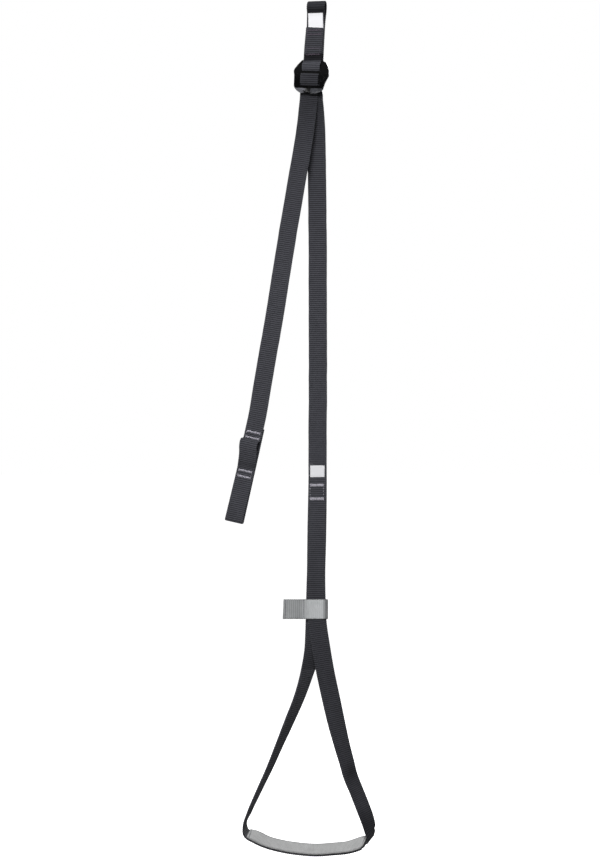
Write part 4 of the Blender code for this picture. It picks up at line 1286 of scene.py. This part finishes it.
def make_keeper(looks):
    points = keeper_points()
    middle_z = KEEPER_TOP_Z - KEEPER_HEIGHT / 2
    path = smooth([(x, y, middle_z) for x, y in points], KEEPER_STEP)
    stations = evenly(framed([Vector(point) for point in path], [Vector((0, 0, 1))] * len(path)))
    section = Section(KEEPER_HEIGHT, KEEPER_THICKNESS, rib=KEEPER_RIB, notch=KEEPER_NOTCH)
    band = strip("keeper_strip", stations, section, looks["band"], band_tone, 7.0, slants=KEEPER_SLANTS)
    attach(band, "keeper", "grey_band", "keeper_band")
    tab_y = points[0][1] - KEEPER_THICKNESS / 2
    rng = random.Random(14)
    for place, inset, rise, count, reach in KEEPER_ROWS:
        pairs = []
        for i in range(count):
            z = KEEPER_TOP_Z - KEEPER_ROW_MARGIN - (KEEPER_HEIGHT - 2 * KEEPER_ROW_MARGIN) * i / count
            x = KEEPER_END_X + inset + rng.uniform(-0.15, 0.15) * MM
            pairs.append(((x - reach, z), (x + reach, z - KEEPER_STITCH_DROP)))
        stitches = on_plane(LEVEL, tab_y - rise, pairs)
        thread = stitched("thread_keeper_" + place, stitches, KEEPER_THREAD, looks["keeper_thread"])
        attach(thread, "keeper", "dark_thread", "keeper_stitch_" + place)


def make_tail_end(looks):
    """The tail's end: the front layer with its slack grab loop, the fold at the bottom, the back layer."""
    loop_top = -GRAB_LOOP_TOP
    loop_y = -GRAB_LOOP_DEPTH
    flat_end = -TAIL_UPPER_TACK - TAIL_TACK_HEIGHT - GAP
    bottom = -TAIL_END_LENGTH + LAYER / 2 + HALF_STRAP
    shift = TAIL_LAYER_SHIFT
    grab_loop = [
        (0, 0, flat_end),
        (-0.9 * MM, -0.8 * MM, loop_top + 0.5 * MM),
        (-1.2 * MM, -2.6 * MM, loop_top),
        (-1.3 * MM, loop_y + 3.4 * MM, loop_top - 0.2 * MM),
        (-1.3 * MM, loop_y + 0.8 * MM, loop_top - 2.8 * MM),
        (-0.9 * MM, loop_y, loop_top - 7.5 * MM),
        (0.6 * MM, loop_y + 1.3 * MM, loop_top - 16.0 * MM),
        (0.9 * MM, loop_y + 4.4 * MM, loop_top - 25.0 * MM),
        (0.6 * MM, -1.4 * MM, -TAIL_LOWER_TACK + 4.2 * MM),
        (0.5 * MM, 0, -TAIL_LOWER_TACK + 0.8 * MM),
    ]
    samples = [(0, 0, 0)] + smooth(grab_loop, FINE_STEP)
    fold = arc(LAYER / 2, bottom, LAYER / 2, 180, 360, 12)
    for i, (y, z) in enumerate(fold):
        samples.append((-shift + 2 * shift * i / (len(fold) - 1), y, z))
    samples += [(shift, LAYER, bottom / 2), (shift, LAYER, -TAIL_RAW_END)]
    stations = evenly(folded_stations(TAIL_FRAME, samples))
    end = webbing("tail_end_strap", stations, looks, 9.0, (False, True))
    attach(end, "tail_end", "webbing", "tail_end")
    make_tail_threads(looks)


def make_tail_threads(looks):
    rng = random.Random(15)
    tacks = (
        ("tail_tack_upper", TAIL_UPPER_TACK, 0.0),
        ("tail_tack_lower", TAIL_LOWER_TACK, TAIL_LOWER_TACK_X),
    )
    for node, top, x in tacks:
        left, right = x - TAIL_TACK_HALF_WIDTH, x + TAIL_TACK_HALF_WIDTH
        pairs = []
        for high in (-top - 0.1 * MM, -top - TAIL_TACK_HEIGHT + 1.9 * MM):
            pairs += zigzag(rng, TAIL_TACK_ZIGZAGS, left, right, high, high - TAIL_TACK_BAR, TAIL_TACK_JITTER)
        for edge in (left, right):
            for high, low in ((1.6 * MM, 3.6 * MM), (5.4 * MM, 7.2 * MM)):
                pairs.append(((edge, -top - high), (edge, -top - low)))
        stitches = on_plane(TAIL_FRAME, -HALF_STRAP, pairs)
        thread = stitched("thread_" + node, stitches, TAIL_THREAD, looks["light_thread"])
        attach(thread, "tail_end", "light_thread", node)


def lip_depths(middle, wings):
    """Depths of one row of the lip, given in mm behind its front."""
    return (LIP_Y + middle * MM, LIP_Y + middle * MM, LIP_Y + wings * MM)


def buckle_rows():
    """From the top down: height, depths of the bar, of the slot's edge and of the outer edge, and half widths
    in mm, left and right, of the outline and of the slot."""
    flat = (PLATE_Y, PLATE_Y, PLATE_Y)
    folded = (MIDDLE_BAR_Y, PLATE_Y - 0.9 * MM, PLATE_Y - 0.1 * MM)
    forward = (MIDDLE_BAR_Y, MIDDLE_BAR_Y, MIDDLE_BAR_Y - 1.6 * MM)
    return (
        (BUCKLE_TOP_Z, flat, (11.2, 11.9), (8.0, 8.0)),
        (BUCKLE_TOP_Z - 2.1 * MM, flat, (13.3, 16.2), (10.0, 10.0)),
        (BUCKLE_TOP_Z - 5.9 * MM, flat, (16.6, 18.4), UPPER_SLOT),
        (TOP_BAR_BOTTOM_Z, flat, (19.8, 19.9), UPPER_SLOT),
        (CROSS_BAR_TOP_Z, flat, (20.4, 20.2), UPPER_SLOT),
        (CROSS_BAR_BOTTOM_Z, flat, (20.2, 20.1), MIDDLE_SLOT_TOP),
        (MIDDLE_BAR_TOP_Z, folded, (19.7, 20.0), MIDDLE_SLOT),
        (MIDDLE_BAR_BOTTOM_Z, forward, (18.8, 16.9), LOWER_SLOT),
        (LIP_TOP_Z, lip_depths(1.8, 2.4), (18.2, 16.3), LOWER_SLOT),
        (LIP_CREST_Z, lip_depths(0.0, 0.8), (16.8, 16.4), (11.0, 11.0)),
        (LIP_TOP_Z - 4.6 * MM, lip_depths(0.6, 1.2), (14.6, 14.8), (10.0, 10.0)),
        (LIP_BOTTOM_Z + 1.6 * MM, lip_depths(1.4, 1.8), (12.2, 11.4), (8.0, 7.0)),
        (LIP_BOTTOM_Z + 0.3 * MM, lip_depths(2.0, 2.2), (9.8, 6.4), (6.0, 4.0)),
    )


def in_notch(x, z):
    """Whether a place on the lip is in its thumb notch, which is wider towards the lower left."""
    return NOTCH_LEFT_TOP - NOTCH_LEFT_SLOPE * (LIP_CREST_Z - z) <= x <= NOTCH_RIGHT


def buckle_row(row, notched):
    """Points across one row: outer edge, slot's edge, the bar's columns, and the same on the right."""
    z, (bar_y, inner_y, outer_y), outline, slot = row
    points = [Vector((-outline[0] * MM, outer_y, z))]
    for k in range(BAR_COLUMNS + 1):
        x = (-slot[0] + (slot[0] + slot[1]) * k / BAR_COLUMNS) * MM
        y = inner_y if k in (0, BAR_COLUMNS) else bar_y
        if notched and in_notch(x, z):
            y += NOTCH_DEPTH
        points.append(Vector((x, y, z)))
    points.append(Vector((outline[1] * MM, outer_y, z)))
    return points


def buckle_faces(builder, rows, middle):
    """Faces between the rows: bars, wings with their fold, and the lip, with painted reflections on both
    sides of its notch.
    """
    last = BAR_COLUMNS + 1
    for i, (upper, lower) in enumerate(zip(rows, rows[1:])):
        for k in range(last + 1):
            wing = k in (0, last)
            if not wing and i not in BAR_SPANS:
                continue
            corners = [upper[k], upper[k + 1], lower[k + 1], lower[k]]
            if wing and i == FOLDED_SPAN:
                if k == last:
                    corners = corners[1:] + corners[:1]
                builder.faces.new(corners[:3])
                builder.faces.new((corners[0], corners[2], corners[3]))
                continue
            face = builder.faces.new(corners)
            centre = face.calc_center_median() - middle
            # Painted reflections on the lip's lower rows, left and right of the notch
            if i in NOTCHED_ROWS and not in_notch(centre.x, centre.z):
                face.material_index = METALS.index("metal_lip_reflection_left" if centre.x < 0 else "metal_lip_reflection_right")


def make_buckle(looks):
    """One pressed plate with three slots, its wings folded along a diagonal and its lip rolled over."""
    builder = bmesh.new()
    middle = Vector((BUCKLE_X, 0, 0))
    rows = []
    for i, row in enumerate(buckle_rows()):
        rows.append([builder.verts.new(middle + point) for point in buckle_row(row, i in NOTCHED_ROWS)])
    buckle_faces(builder, rows, middle)
    bmesh.ops.transform(builder, matrix=BUCKLE_FRAME, verts=builder.verts)
    buckle = finished("buckle_plate", builder, looks[METALS[0]])
    for metal in METALS[1:]:
        buckle.data.materials.append(looks[metal])
    plate = buckle.modifiers.new("plate", "SOLIDIFY")
    plate.thickness = PLATE
    plate.offset = 0
    edges = buckle.modifiers.new("edges", "BEVEL")
    edges.width = PLATE_EDGE
    edges.segments = 3
    edges.limit_method = "ANGLE"
    edges.angle_limit = PLATE_EDGE_ANGLE
    edges.harden_normals = True
    # Bevelled edges take the lighter copy: wear and a painted highlight
    edges.material = METALS.index("metal_edge")
    attach(buckle, "buckle", "black_metal", "buckle_frame")


# Stage and light


def make_stage(looks):
    """A pale round floor just below the object, seen as plain white."""
    builder = bmesh.new()
    bmesh.ops.create_circle(builder, cap_ends=True, segments=96, radius=FLOOR_RADIUS)
    floor = finished("floor", builder, looks["stage"], smooth_faces=False)
    floor.location = (0.0, 0.0, FLOOR_Z)
    floor.visible_diffuse = False
    floor.visible_glossy = False


def area_light(name, place, target, size, watts, glossy=True):
    data = bpy.data.lights.new(name, "AREA")
    data.shape = "DISK"
    data.size = size
    data.energy = watts
    light = bpy.data.objects.new(name, data)
    light.location = place
    aim = Vector(target) - Vector(place)
    light.rotation_euler = aim.to_track_quat("-Z", "Y").to_euler()
    light.visible_camera = False
    light.visible_glossy = glossy
    bpy.context.scene.collection.objects.link(light)


def make_surroundings():
    """White to the camera. What lights the part is dimmer, and darkest towards the upper right."""
    world = bpy.data.worlds.new("studio")
    bpy.context.scene.world = world
    world.use_nodes = True
    nodes = Nodes(world.node_tree)
    backdrop = nodes.tree.nodes["Background"]
    nodes.put(backdrop.inputs["Color"], (1.0, 1.0, 1.0, 1.0))
    nodes.put(backdrop.inputs["Strength"], 1.0)
    place = nodes.add("ShaderNodeTexCoord").outputs["Generated"]
    nearness = nodes.add("ShaderNodeVectorMath", {0: place, 1: DARK_SIDE}, operation="DOT_PRODUCT")
    ends = {"From Min": -1.0, "From Max": DARK_FROM, "To Min": WORLD_BRIGHT, "To Max": WORLD_DARK}
    bright = nodes.add("ShaderNodeMapRange", {"Value": nearness.outputs["Value"], **ends}).outputs["Result"]
    lighting = nodes.add("ShaderNodeBackground", {"Strength": bright}).outputs[0]
    seen = nodes.add("ShaderNodeLightPath").outputs["Is Camera Ray"]
    choice = nodes.add("ShaderNodeMixShader", {"Fac": seen, 1: lighting, 2: backdrop.outputs[0]})
    nodes.put(nodes.tree.nodes["World Output"].inputs["Surface"], choice.outputs[0])


def make_light():
    """A soft box above the front, a small bright one near the floor, and one that lights the back."""
    make_surroundings()
    middle = (-18.0 * MM, 0.0, -400.0 * MM)
    area_light("key", (-0.25, -1.75, 1.05), middle, 1.0, 50.0, glossy=False)
    area_light("bounce", (-0.5, -1.1, -1.5), (0.0, 0.0, -100.0 * MM), 0.5, 4.0)
    area_light("back", (0.7, 2.2, 0.6), middle, 1.2, 34.0)
    bpy.context.scene.view_settings.view_transform = "Standard"


make_camera()
LOOKS = make_looks()
make_tail_strap(LOOKS)
make_tail_end(LOOKS)
make_eye(LOOKS)
make_buckle(LOOKS)
make_strap_turn(LOOKS)
make_load_strap(LOOKS)
make_foot_loop(LOOKS)
make_keeper(LOOKS)
make_stage(LOOKS)
make_light()
